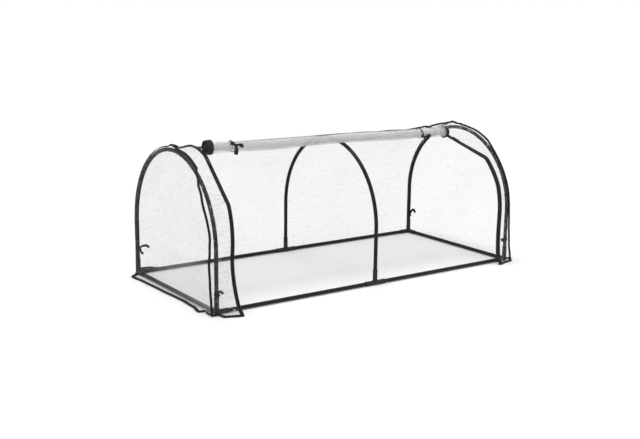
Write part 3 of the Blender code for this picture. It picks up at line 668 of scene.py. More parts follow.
    @staticmethod
    def ball(centre: Vector, scale: Sequence[float], turn: Matrix | None = None) -> Mesh:
        """A closed ball, stretched by a scale along its axes."""
        bm = bmesh.new()
        matrix = Matrix.Translation(centre) @ (turn or Matrix.Identity(4)) @ Matrix.Diagonal((*scale, 1.0))
        bmesh.ops.create_uvsphere(bm, u_segments=20, v_segments=12, radius=1.0, matrix=matrix)
        return Kit.mesh(bm, "ball")

    @staticmethod
    def joined(name: str, meshes: Sequence[Mesh]) -> Mesh:
        """One mesh from several, each kept as it is."""
        bm = bmesh.new()
        for mesh in meshes:
            bm.from_mesh(mesh)
            bpy.data.meshes.remove(mesh)
        mesh = bpy.data.meshes.new(name)
        bm.to_mesh(mesh)
        bm.free()
        return mesh

    @staticmethod
    def melted(
        name: str, solids: Sequence[Mesh], voxel: float, smoothing: int,
        cuts: Sequence[Mesh] = (),
    ) -> Mesh:
        """Melt solids that overlap into one soft-edged body, then cut it.

        Args:
            name: The mesh's name.
            solids: The solids.
            voxel: The size of the new faces.
            smoothing: How often the melted surface is smoothed.
            cuts: Solids to take away from it afterwards.

        Returns:
            The body's mesh.
        """
        base = new_object("melt", Kit.joined("melt", solids))
        remesh = base.modifiers.new("melt", "REMESH")
        remesh.mode = "VOXEL"
        remesh.voxel_size = voxel
        remesh.use_smooth_shade = True
        soften = base.modifiers.new("soften", "SMOOTH")
        soften.factor = 0.5
        soften.iterations = smoothing
        helpers = []
        for cut in cuts:
            helpers.append(new_object("cut", cut))
            take = base.modifiers.new("cut", "BOOLEAN")
            take.operation = "DIFFERENCE"
            take.object = helpers[-1]
        graph = bpy.context.evaluated_depsgraph_get()
        mesh = bpy.data.meshes.new_from_object(base.evaluated_get(graph))
        mesh.name = name
        for item in [base, *helpers]:
            bpy.data.objects.remove(item)
        return mesh


class Nodes:
    """Adds shader nodes to a tree and links them."""

    def __init__(self, tree: bpy.types.NodeTree) -> None:
        """Keep the tree that the nodes go into."""
        self.tree = tree

    def add(self, kind: str, values: Values | None = None, **settings: object) -> bpy.types.Node:
        """Add one node.

        Args:
            kind: The node's type.
            values: A value or a socket for each named or numbered input.
            settings: The node's own settings.

        Returns:
            The node.
        """
        node = self.tree.nodes.new(kind)
        for name, value in settings.items():
            setattr(node, name, value)
        self.fill(node, values or {})
        return node

    def fill(self, node: bpy.types.Node, values: Values) -> None:
        """Link inputs of a node to sockets, or set their values."""
        for key, value in values.items():
            if isinstance(value, Socket):
                self.tree.links.new(value, node.inputs[key])
            else:
                node.inputs[key].default_value = value

    def math(self, operation: str, first: object, second: object = 0.5, clamp: bool = False) -> Socket:
        """One step of arithmetic."""
        values = {0: first, 1: second}
        return self.add("ShaderNodeMath", values, operation=operation, use_clamp=clamp).outputs[0]

    def times(self, first: object, second: object) -> Socket:
        """A product."""
        return self.math("MULTIPLY", first, second)

    def plus(self, first: object, second: object, clamp: bool = False) -> Socket:
        """A sum."""
        return self.math("ADD", first, second, clamp)

    def total(self, *parts: tuple[Socket, float]) -> Socket:
        """The sum of some values, each times its own weight."""
        result = self.times(*parts[0])
        for part in parts[1:]:
            result = self.plus(result, self.times(*part))
        return result

    def ramp(self, value: object, low: float, high: float, start: float = 0.0, stop: float = 1.0) -> Socket:
        """Map a range of values softly to another one."""
        values = {"Value": value, "From Min": low, "From Max": high, "To Min": start, "To Max": stop}
        return self.add("ShaderNodeMapRange", values, interpolation_type="SMOOTHSTEP").outputs["Result"]

    def blend(self, share: object, first: object, second: object) -> Socket:
        """Mix two colours by a share."""
        return self.add("ShaderNodeMix", {"Factor": share, 6: first, 7: second}, data_type="RGBA").outputs[2]

    def layered(self, colour: Socket, *layers: tuple[Socket, float, Colour]) -> Socket:
        """Lay other colours over one, each by its mask and strength."""
        for mask, strength, tone in layers:
            colour = self.blend(self.times(mask, strength), colour, tone)
        return colour

    def noise(self, vector: Socket, scale: object, detail: float, roughness: float = 0.5) -> Socket:
        """A soft noise."""
        values = {"Vector": vector, "Scale": scale, "Detail": detail, "Roughness": roughness}
        return self.add("ShaderNodeTexNoise", values).outputs["Fac"]

    def vector(self, operation: str, values: Values) -> Socket:
        """One step of arithmetic with vectors."""
        return self.add("ShaderNodeVectorMath", values, operation=operation).outputs[0]

    def axes(self, vector: Socket) -> Outputs:
        """The parts of a vector."""
        return self.add("ShaderNodeSeparateXYZ", {0: vector}).outputs

    def flat(self) -> Socket:
        """The coordinates on the flat sheet, in metres."""
        return self.add("ShaderNodeUVMap", uv_map="Flat").outputs["UV"]

    def seen(self) -> Socket:
        """1 where the background is looked at, directly or in a mirror or through glass."""
        path = self.add("ShaderNodeLightPath").outputs
        either = self.math("MAXIMUM", path["Is Camera Ray"], path["Is Glossy Ray"])
        return self.math("MAXIMUM", either, path["Is Transmission Ray"])

    def bump(self, height: Socket, depth: float, strength: float) -> Socket:
        """The normal that a height gives."""
        values = {"Strength": strength, "Distance": depth, "Height": height}
        return self.add("ShaderNodeBump", values).outputs["Normal"]


class Effect:
    """A shader node group that several finishes share, driven by a vector and some numbers."""

    name = "effect"
    inputs: dict[str, float] = {}

    @classmethod
    def group(cls) -> bpy.types.NodeTree:
        """The group, built the first time that it is asked for."""
        found = bpy.data.node_groups.get(cls.name)
        if found:
            return found
        tree = bpy.data.node_groups.new(cls.name, "ShaderNodeTree")
        tree.interface.new_socket("Vector", in_out="INPUT", socket_type="NodeSocketVector")
        for label, value in cls.inputs.items():
            socket = tree.interface.new_socket(label, in_out="INPUT", socket_type="NodeSocketFloat")
            socket.default_value = value
        nodes = Nodes(tree)
        made = cls.build(nodes, nodes.add("NodeGroupInput").outputs)
        for label in made:
            tree.interface.new_socket(label, in_out="OUTPUT", socket_type="NodeSocketFloat")
        nodes.add("NodeGroupOutput", made)
        return tree

    @classmethod
    def build(cls, nodes: Nodes, given: Outputs) -> Masks:
        """Make the group's nodes and name the sockets that it puts out."""
        raise NotImplementedError

    @classmethod
    def use(cls, nodes: Nodes, vector: Socket, **values: float) -> Outputs:
        """Place the group in a material, with values by its inputs' names in small letters."""
        named = {key.replace("_", " ").title(): value for key, value in values.items()}
        return nodes.add("ShaderNodeGroup", {"Vector": vector, **named}, node_tree=cls.group()).outputs


class FilmCreases(Effect):
    """Fold lines from the packing, crumples, pulled streaks and haze in clear film, and glint spots that the
    film paints as highlights.
    """

    name = "film_creases"
    inputs = {"Fold Spacing": 0.3, "Crumple Scale": 22.0}
    drift = 0.02
    streak_stretch = 12.0

    @classmethod
    def build(cls, nodes: Nodes, given: Outputs) -> Masks:
        """Make the masks from the flat sheet's own coordinates."""
        flat = given["Vector"]
        drift = nodes.add("ShaderNodeTexNoise", {"Vector": flat, "Scale": 5.0, "Detail": 2.0})
        drift = nodes.vector("SUBTRACT", {0: drift.outputs["Color"], 1: (0.5, 0.5, 0.5)})
        moved = nodes.vector("ADD", {0: flat, 1: nodes.vector("SCALE", {0: drift, "Scale": cls.drift})})
        parts = nodes.axes(moved)
        half = nodes.times(given["Fold Spacing"], 0.5)
        waves = [nodes.math("PINGPONG", parts[axis], half) for axis in (0, 1)]
        folds = [nodes.ramp(wave, 0.0005, 0.0035, 1.0, 0.0) for wave in waves]
        values = {"Vector": moved, "Scale": given["Crumple Scale"]}
        cells = nodes.add("ShaderNodeTexVoronoi", values, feature="DISTANCE_TO_EDGE").outputs["Distance"]
        patches = nodes.ramp(nodes.noise(flat, 9.0, 3.0), 0.42, 0.66)
        stretched = nodes.times(parts[1], cls.streak_stretch)
        pulled = nodes.add("ShaderNodeCombineXYZ", {0: parts[0], 1: stretched})
        return {
            "Folds": nodes.math("MAXIMUM", *folds),
            "Crumples": nodes.times(nodes.ramp(cells, 0.0, 0.05, 1.0, 0.0), patches),
            "Streaks": nodes.ramp(nodes.noise(pulled.outputs[0], 6.0, 5.0, 0.62), 0.45, 0.72),
            "Haze": nodes.ramp(nodes.noise(flat, 2.6, 4.0), 0.35, 0.7),
            # Glint spots: sparse patches that the film paints as highlights.
            "Glints": nodes.ramp(nodes.noise(flat, 48.0, 4.0, 0.68), 0.565, 0.66),
        }


class TapeWeave(Effect):
    """The ribs and threads of narrow woven tape."""

    name = "tape_weave"
    inputs = {"Thread Pitch": 0.0009}
    slub = 0.3

    @classmethod
    def build(cls, nodes: Nodes, given: Outputs) -> Masks:
        """Cross two rows of threads over each other."""
        parts = nodes.axes(given["Vector"])
        turn = nodes.math("DIVIDE", 2 * math.pi, given["Thread Pitch"])
        warp, weft = (nodes.math("SINE", nodes.times(parts[axis], turn)) for axis in (0, 1))
        slub = nodes.times(nodes.noise(given["Vector"], 240.0, 3.0), cls.slub)
        height = nodes.plus(nodes.times(nodes.times(warp, weft), 0.5), slub)
        return {"Height": height, "Shade": nodes.ramp(height, -0.4, 0.8)}


class FineGrain(Effect):
    """Fine surface grain with a slow mottle under it."""

    name = "fine_grain"
    inputs = {"Grain Scale": 900.0, "Mottle Scale": 30.0}

    @classmethod
    def build(cls, nodes: Nodes, given: Outputs) -> Masks:
        """Layer two noises."""
        grain = nodes.noise(given["Vector"], given["Grain Scale"], 3.0)
        mottle = nodes.noise(given["Vector"], given["Mottle Scale"], 4.0)
        return {"Height": grain, "Mottle": nodes.ramp(mottle, 0.35, 0.68)}


class Handling(Effect):
    """Dust specks and light rub marks from being put up and taken down."""

    name = "handling_marks"
    inputs = {"Speck Scale": 420.0, "Rub Scale": 24.0}

    @classmethod
    def build(cls, nodes: Nodes, given: Outputs) -> Masks:
        """Pick out the peaks of two noises."""
        specks = nodes.noise(given["Vector"], given["Speck Scale"], 1.0)
        rubs = nodes.noise(given["Vector"], given["Rub Scale"], 6.0, 0.7)
        return {"Specks": nodes.ramp(specks, 0.66, 0.74), "Rubs": nodes.ramp(rubs, 0.56, 0.74)}


def grey(level: float, warmth: float = 0.0) -> Colour:
    """A grey, a little warmer or cooler."""
    return (level * (1 + warmth), level, level * (1 - warmth), 1.0)


@dataclass(frozen=True)
class Finish:
    """A finish that pieces can be dressed in."""

    name: str
    made: ClassVar[dict[str, bpy.types.Material]] = {}

    def material(self) -> bpy.types.Material:
        """The finish as a material, made the first time that it is asked for."""
        if self.name not in self.made:
            material = bpy.data.materials.new(self.name)
            material.use_nodes = True
            self.dress(Nodes(material.node_tree), material.node_tree.nodes["Principled BSDF"])
            self.made[self.name] = material
        return self.made[self.name]

    def dress(self, nodes: Nodes, shader: bpy.types.Node) -> None:
        """Add the finish's nodes to a new material."""
        raise NotImplementedError


@dataclass(frozen=True)
class HardFinish(Finish):
    """A hard surface with a fine grain, a slow mottle, light rubs and dust."""

    tones: tuple[Colour, Colour]
    roughness: Pair
    grain_scale: float
    mottle_scale: float
    grain_depth: float
    grain_strength: float
    speck_scale: float = 500.0
    rub_scale: float = 20.0
    rub: float = 0.0
    rub_tone: Colour = grey(0.1)
    dust: float = 0.0
    dust_tone: Colour = grey(0.1)
    rubs_dull: bool = False
    bare_metal: float = 0.0
    specular: float = 0.5

    def dress(self, nodes: Nodes, shader: bpy.types.Node) -> None:
        """Grain, mottle, rubs and dust, and bare metal where a painted piece is rubbed."""
        place = nodes.add("ShaderNodeTexCoord").outputs["Object"]
        grain = FineGrain.use(nodes, place, grain_scale=self.grain_scale, mottle_scale=self.mottle_scale)
        marks = Handling.use(nodes, place, speck_scale=self.speck_scale, rub_scale=self.rub_scale)
        colour = nodes.layered(
            nodes.blend(grain["Mottle"], *self.tones),
            (marks["Rubs"], self.rub, self.rub_tone),
            (marks["Specks"], self.dust, self.dust_tone),
        )
        dull = marks["Rubs"] if self.rubs_dull else grain["Mottle"]
        values = {
            "Base Color": colour,
            "Roughness": nodes.ramp(dull, 0.0, 1.0, *self.roughness),
            "Specular IOR Level": self.specular,
            "Normal": nodes.bump(grain["Height"], self.grain_depth, self.grain_strength),
        }
        if self.bare_metal:
            values["Metallic"] = nodes.times(marks["Rubs"], self.bare_metal)
        nodes.fill(shader, values)


@dataclass(frozen=True)
class ClearFilm(Finish):
    """Clear soft film, a little hazy, that shows its creases."""

    level: float = 0.22
    clearness: float = 0.058
    crease: float = 0.012
    crumple: float = 0.035
    streak: float = 0.02
    haze: float = 0.018
    grazing: float = 0.14
    shade: float = 0.135
    # How strongly the glint spots paint pale highlights into the film.
    glint: float = 0.06
    # The next three fields set a whitish patch painted into the film, low on the sheet and fading across it:
    # painted glare, a painted reflection.
    mist: float = 0.0
    mist_from: float = 0.75
    mist_to: float = 0.05
    fold_spacing: float = 0.30
    crumple_scale: float = 22.0
    roughness: float = 0.16
    depth: float = 0.0010
    # Dark bands across the sheet, each given by its height on the flat sheet, half width and strength:
    # painted shade.
    shade_bands: tuple[tuple[float, float, float], ...] = ()

    def dress(self, nodes: Nodes, shader: bpy.types.Node) -> None:
        """Alpha that thickens at creases and at grazing views, a bump for the creases, and painted light: a
        pale glare patch and glint spots (painted reflection and highlights) and dark bands across the sheet
        (painted shade).
        """
        place = nodes.flat()
        flat = nodes.axes(place)
        sizes = {"fold_spacing": self.fold_spacing, "crumple_scale": self.crumple_scale}
        marks = FilmCreases.use(nodes, place, **sizes)
        masks = [marks[word] for word in ("Folds", "Crumples", "Streaks", "Haze")]
        marked = nodes.total(*zip(masks, (self.crease, self.crumple, self.streak, self.haze)))
        haze = marks["Haze"]
        # A pale band low on the sheet, fading across it and broken up by the haze: painted glare, a painted
        # reflection on the film.
        low = nodes.times(nodes.ramp(flat[1], 0.03, 0.08), nodes.ramp(flat[1], 0.26, 0.16))
        glare_patch = nodes.times(nodes.ramp(flat[0], self.mist_from, self.mist_to, 0.0, self.mist), low)
        glare_patch = nodes.times(glare_patch, nodes.ramp(haze, 0.0, 1.0, 0.55, 1.0))
        # The glint spots add painted highlights; together with the painted glare they thicken the alpha.
        glare_and_glints = nodes.plus(glare_patch, nodes.times(marks["Glints"], self.glint))
        edge_on = nodes.add("ShaderNodeLayerWeight", {"Blend": 0.5}).outputs["Facing"]
        rim = nodes.times(nodes.math("POWER", edge_on, 4.0), self.grazing)
        shaded = nodes.times(nodes.add("ShaderNodeLightPath").outputs["Is Shadow Ray"], self.shade)
        clear = nodes.plus(nodes.plus(marked, rim), nodes.plus(shaded, self.clearness))
        # Each dark band, broken by the haze, thickens the alpha and darkens the colour: painted shade.
        shade_bands = []
        for height, half_width, strength in self.shade_bands:
            apart = nodes.math("ABSOLUTE", nodes.math("SUBTRACT", flat[1], height))
            line = nodes.ramp(apart, half_width * 0.3, half_width, strength, 0.0)
            shade_bands.append(nodes.times(line, nodes.ramp(haze, 0.0, 1.0, 0.75, 1.0)))
            clear = nodes.plus(clear, nodes.times(shade_bands[-1], 0.7))
        alpha = nodes.plus(clear, glare_and_glints, clamp=True)
        colour = nodes.blend(marks["Streaks"], grey(self.level), grey(self.level * 0.82))
        # Where the painted glare and the glint spots lie, the colour turns pale grey: painted light.
        colour = nodes.blend(nodes.math("DIVIDE", glare_and_glints, nodes.plus(alpha, 0.001)), colour, grey(0.88))
        for line in shade_bands:
            colour = nodes.blend(line, colour, grey(self.level * 0.12))
        values = {
            "Alpha": alpha, "Base Color": colour,
            "Roughness": nodes.ramp(haze, 0.0, 1.0, self.roughness, self.roughness + 0.12),
            "Normal": nodes.bump(nodes.total(*zip(masks, (0.5, 0.7, 0.35))), self.depth, 0.6),
        }
        nodes.fill(shader, values)


@dataclass(frozen=True)
class WovenTape(Finish):
    """Black woven tape with a lock stitch along it and a little lint."""

    level: float = 0.012
    pitch: float = 0.0009
    stitch_length: float = 0.004
    lint: float = 0.22
    speck_scale: float = 520.0
    rub: float = 0.0
    rub_scale: float = 60.0

    def dress(self, nodes: Nodes, shader: bpy.types.Node) -> None:
        """Weave, stitches and lint."""
        place = nodes.flat()
        weave = TapeWeave.use(nodes, place, thread_pitch=self.pitch)
        marks = Handling.use(nodes, place, speck_scale=self.speck_scale, rub_scale=self.rub_scale)
        wave = nodes.math("PINGPONG", nodes.axes(place)[1], self.stitch_length / 2)
        colour = nodes.layered(
            nodes.blend(weave["Shade"], grey(self.level * 0.7), grey(self.level * 1.5)),
            (nodes.ramp(wave, 0.0003, 0.0007), 0.12, grey(0.03)),
            (marks["Specks"], self.lint, grey(0.15, 0.03)),
            (marks["Rubs"], self.rub, grey(0.30)),
        )
        values = {
            "Base Color": colour,
            "Roughness": nodes.ramp(weave["Shade"], 0.0, 1.0, 0.72, 0.88),
            "Specular IOR Level": 0.22,
            "Normal": nodes.bump(weave["Height"], 0.00025, 0.7),
        }
        nodes.fill(shader, values)


POWDER_COAT = HardFinish(
    "powder_coat", (grey(0.0086), grey(0.0112, -0.02)), (0.42, 0.54), grain_scale=700.0, mottle_scale=14.0,
    grain_depth=0.00012, grain_strength=0.35, rub_scale=18.0, rub=0.30,
    rub_tone=grey(0.019), dust=0.20, dust_tone=grey(0.12, 0.04), rubs_dull=True, specular=0.20,
)
MOULDED_PLASTIC = HardFinish(
    "moulded_plastic", (grey(0.0102), grey(0.0144)), (0.46, 0.56), grain_scale=1400.0, mottle_scale=40.0,
    grain_depth=0.0001, grain_strength=0.4, speck_scale=600.0, rub_scale=45.0, rub=0.35,
    rub_tone=grey(0.055), dust=0.3, dust_tone=grey(0.13, 0.05), specular=0.35,
)
ZIP_COIL = HardFinish(
    "zip_coil", (grey(0.010), grey(0.018)), (0.34, 0.48), grain_scale=1600.0, mottle_scale=90.0,
    grain_depth=0.00006, grain_strength=0.3,
)
PAINTED_METAL = HardFinish(
    "painted_metal", (grey(0.022), grey(0.0352)), (0.36, 0.5), grain_scale=1200.0, mottle_scale=120.0,
    grain_depth=0.00006, grain_strength=0.3, speck_scale=700.0, rub_scale=160.0, rub=1.0,
    rub_tone=grey(0.12), rubs_dull=True, bare_metal=0.8,
)
WOVEN_TAPE = WovenTape("woven_tape")
ZIP_TAPE = WovenTape("zip_tape", pitch=0.0007)
# The wound zip tape has heavy lint and pale rub patches at random: real wear, and also painted highlights
# standing in for the tape's sheen on the rolls.
WOUND_ZIP_TAPE = WovenTape(
    "wound_zip_tape", level=0.018, lint=0.7, speck_scale=210.0, rub=0.75, rub_scale=120.0, pitch=0.0007
)
TIE_TAPE = WovenTape("tie_tape", level=0.014, pitch=0.0011)
WALL_FILM = ClearFilm("clear_film")
END_FILMS = {
    End.LEFT: ClearFilm(
        # The left panel carries a painted glare patch, low on the panel and strongest at its front edge.
        "clear_film_left", clearness=0.022, crumple=0.025, grazing=0.05, mist=0.24, fold_spacing=0.27
    ),
    End.RIGHT: ClearFilm("clear_film_right", clearness=0.042, crumple=0.025, grazing=0.05, fold_spacing=0.27),
}
# The front strips carry strong painted highlights from the glint spots, which show over the tubes behind
# them.
STRIP_FILM = ClearFilm(
    "clear_film_strips", level=0.32, clearness=0.025, crumple=0.03, streak=0.06, grazing=0.05, glint=0.36,
    fold_spacing=0.24, crumple_scale=34.0,
)
HEAD_FILM = ClearFilm("clear_film_head", clearness=0.045)
# The rolled film's dark bands lie on its outer turn where it faces down and forwards: painted shade on the
# roll's underside and along its foot. Its glint spots are painted highlights.
ROLL_FILM = ClearFilm(
    "rolled_film", level=0.97, clearness=0.045, crease=0.03, crumple=0.10, streak=0.12,
    grazing=0.12, shade=0.02, glint=0.10, fold_spacing=0.33, crumple_scale=40.0, depth=0.0016,
    shade_bands=((0.7885, 0.0045, 1.0), (0.7710, 0.0085, 0.45), (0.7560, 0.0035, 0.20)),
)


@dataclass
class Piece:
    """A finished piece, and what it stands for in the frame."""

    name: str
    mesh: Mesh
    finish: Finish
    slot: Slot
    nodes: tuple[str, ...] = ()
    body: str = "tunnel"
    wall: float = 0.0
    wall_offset: float = 0.0

    def place(self) -> bpy.types.Object:
        """Put the piece in the scene.

        Returns:
            The piece's object, which rides on its body.
        """
        obj = new_object(self.name, self.mesh)
        self.mesh.materials.clear()
        self.mesh.materials.append(self.finish.material())
        if self.wall:
            shell = obj.modifiers.new("wall", "SOLIDIFY")
            shell.thickness = self.wall
            shell.offset = self.wall_offset
            shell.use_even_offset = True
        if self.body:
            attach(obj, self.body)
        if self.nodes:
            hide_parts(*self.nodes)
        nodes = ", ".join(self.nodes) or "no node"
        log.info("%s: %d faces, for %s", self.name, len(self.mesh.polygons), nodes)
        return obj


@dataclass
class SteelFrame:
    """The hoops and rails, drawn smooth, and the moulded connectors that hold them."""

    shell: Shell
    tube_wall: float = 0.0008
    leg_top: float = 0.30
    neck_radius: float = 0.0080
    neck_length: float = 0.034
    neck_shoulder: float = 0.002
    seat: float = 0.0133
    socket_radius: float = 0.0102
    socket_floor: float = 0.013
    rail_arm: float = 0.058
    upright_arm: float = 0.067
    collar_length: float = 0.006
    collar_step: float = 0.0004
    web: tuple[float, float, float] = (0.010, 0.010, 0.0035)
    melt_size: float = 0.0009

    def tube(self, node: str, path: Sequence[Vector], radii: Sequence[float], normal: Vector) -> None:
        """Draw one hollow tube and place it.

        Args:
            node: The frame's node that it stands for.
            path: Its middle line.
            radii: Its outer radius at each point.
            normal: A direction across the path.
        """
        name = "tube_" + node
        sizes = [(radius, radius) for radius in radii]
        mesh = Kit.sweep(name, Kit.turned(path, normal), sizes, sides=28, capped=False)
        Piece(name, mesh, POWDER_COAT, Slot.TUBES, (node,), wall=self.tube_wall, wall_offset=-1.0).place()

    def leg(self, hoop: str, x: float, side: Side) -> None:
        """A straight leg with its drawn-in top end."""
        shell = self.shell
        y = side.value * shell.arch_radius
        top = self.leg_top - shell.gap
        foot = shell.sleeve_radius + self.seat
        heights = [foot, foot + 0.001]
        heights += spread(0.03, top - self.neck_shoulder - 0.001, 12)
        neck, shoulder = self.neck_radius, self.neck_shoulder
        radii = [shell.tube_radius - 0.0006] + [shell.tube_radius] * (len(heights) - 1)
        heights += [top - shoulder, top - shoulder * 0.5, top, top + self.neck_length / 2]
        radii += [shell.tube_radius - 0.0004, neck + 0.0005, neck, neck - 0.0002]
        path = [Vector((x, y, height)) for height in heights]
        self.tube(f"leg_{hoop}_{side.word}", path, radii, X_AXIS)

    def bow(self, hoop: str, x: float, side: Side, steps: int = 56) -> None:
        """Half of a hoop's bend, with the crown's spigot on the front half."""
        shell = self.shell
        y = side.value * shell.arch_radius
        first = math.asin((self.leg_top - shell.spring_height) / shell.arch_radius)
        spigot = side is Side.FRONT
        stop = math.pi / 2 - (self.neck_shoulder if spigot else shell.gap) / shell.arch_radius
        path = [Vector((x, y, self.leg_top)), Vector((x, y, self.leg_top + 0.0008))]
        radii = [shell.tube_radius - 0.0005] + [shell.tube_radius] * (steps + 1)
        path += [shell.bend(x, y, angle) for angle in spread(first, stop, steps)[1:]]
        if spigot:
            crown = shell.spring_height + shell.arch_radius
            path += [Vector((x, 0.0, crown)), Vector((x, self.neck_length, crown - 0.0014))]
            radii += [self.neck_radius, self.neck_radius]
        self.tube(f"bow_{hoop}_{side.word}", path, radii, X_AXIS)

    def rail(self, node: str, start: Point, stop: Point, steps: int = 24) -> None:
        """A straight rail, with its ends in the connectors."""
        path = spread(Vector(start), Vector(stop), steps)
        self.tube(node, path, [self.shell.tube_radius] * len(path), Z_AXIS)

    def rails(self) -> None:
        """All six rails on the ground."""
        shell, low = self.shell, self.shell.sleeve_radius
        for side in Side:
            y = side.value * shell.arch_radius
            for end in End:
                near, far = end.value * self.seat, end.value * (shell.hoop_spacing - self.seat)
                self.rail(f"rail_{side.word}_{end.word}", (near, y, low), (far, y, low))
        reach = shell.arch_radius - self.seat
        for end in End:
            x = end.value * shell.hoop_spacing
            self.rail(f"rail_{end.word}_end", (x, -reach, low), (x, reach, low))

    def connector(self, name: str, arms: Sequence[tuple[Vector, float]]) -> Mesh:
        """Mould a connector from sleeves with collared mouths, webs between them, and bored sockets.

        Args:
            name: The mesh's name.
            arms: The direction and length of each sleeve.

        Returns:
            The connector's mesh round the origin.
        """
        radius = self.shell.sleeve_radius
        wide, thin = radius + 0.0001, radius - 0.0004
        bore, collar = (self.socket_radius,) * 2, (radius + self.collar_step,) * 2
        solids = [Kit.ball(Vector(), (radius, radius, radius))]
        cuts = []
        for way, length in arms:
            solids.append(Kit.rod(-way * radius / 2, way * length, (wide, thin)))
            solids.append(Kit.rod(way * (length - self.collar_length), way * length, collar))
            cuts.append(Kit.rod(way * self.socket_floor, way * (length + radius), bore, 48))
        for (first, _), (second, _) in zip(arms, [*arms[1:], arms[0]]):
            if abs(first.dot(second)) < 0.5:
                web = Kit.block(self.web, (0, 0, 0), 0.0008)
                middle, side = first + second, first.cross(second)
                basis = Matrix((middle.normalized(), side.cross(middle).normalized(), side)).transposed()
                web.transform(Matrix.Translation(middle * radius * 0.9) @ basis.to_4x4())
                solids.append(web)
        return Kit.melted(name, solids, self.melt_size, 3, cuts)

    def connectors(self) -> None:
        """The four corner connectors and the two tees."""
        shell = self.shell
        upright = (Z_AXIS, self.upright_arm)
        corner = self.connector("corner", [(X_AXIS, self.rail_arm), (Y_AXIS, self.rail_arm), upright])
        tee = self.connector("tee", [(X_AXIS, self.rail_arm), upright, (-X_AXIS, self.rail_arm)])
        corners = [(end, Side.FRONT) for end in End] + [(end, Side.REAR) for end in reversed(End)]
        for quarter, (end, side) in enumerate(corners):
            centre = (end.value * shell.hoop_spacing, side.value * shell.arch_radius, shell.sleeve_radius)
            turn = Matrix.Rotation(quarter * math.pi / 2, 4, "Z")
            self.moulded(f"corner_{end.word}_{side.word}", corner, Matrix.Translation(centre) @ turn)
        for side in Side:
            centre = (0.0, side.value * shell.arch_radius, shell.sleeve_radius)
            self.moulded(f"tee_{side.word}", tee, Matrix.Translation(centre))

    def moulded(self, node: str, mesh: Mesh, matrix: Matrix) -> None:
        """Place a copy of a connector."""
        copy = mesh.copy()
        copy.transform(matrix)
        Piece("moulded_" + node, copy, MOULDED_PLASTIC, Slot.CONNECTORS, (node,)).place()

    def build(self) -> None:
        """Every tube and connector."""
        for hoop, x in (("left", -1), ("middle", 0), ("right", 1)):
            for side in Side:
                self.leg(hoop, x * self.shell.hoop_spacing, side)
                self.bow(hoop, x * self.shell.hoop_spacing, side)
        self.rails()
        self.connectors()


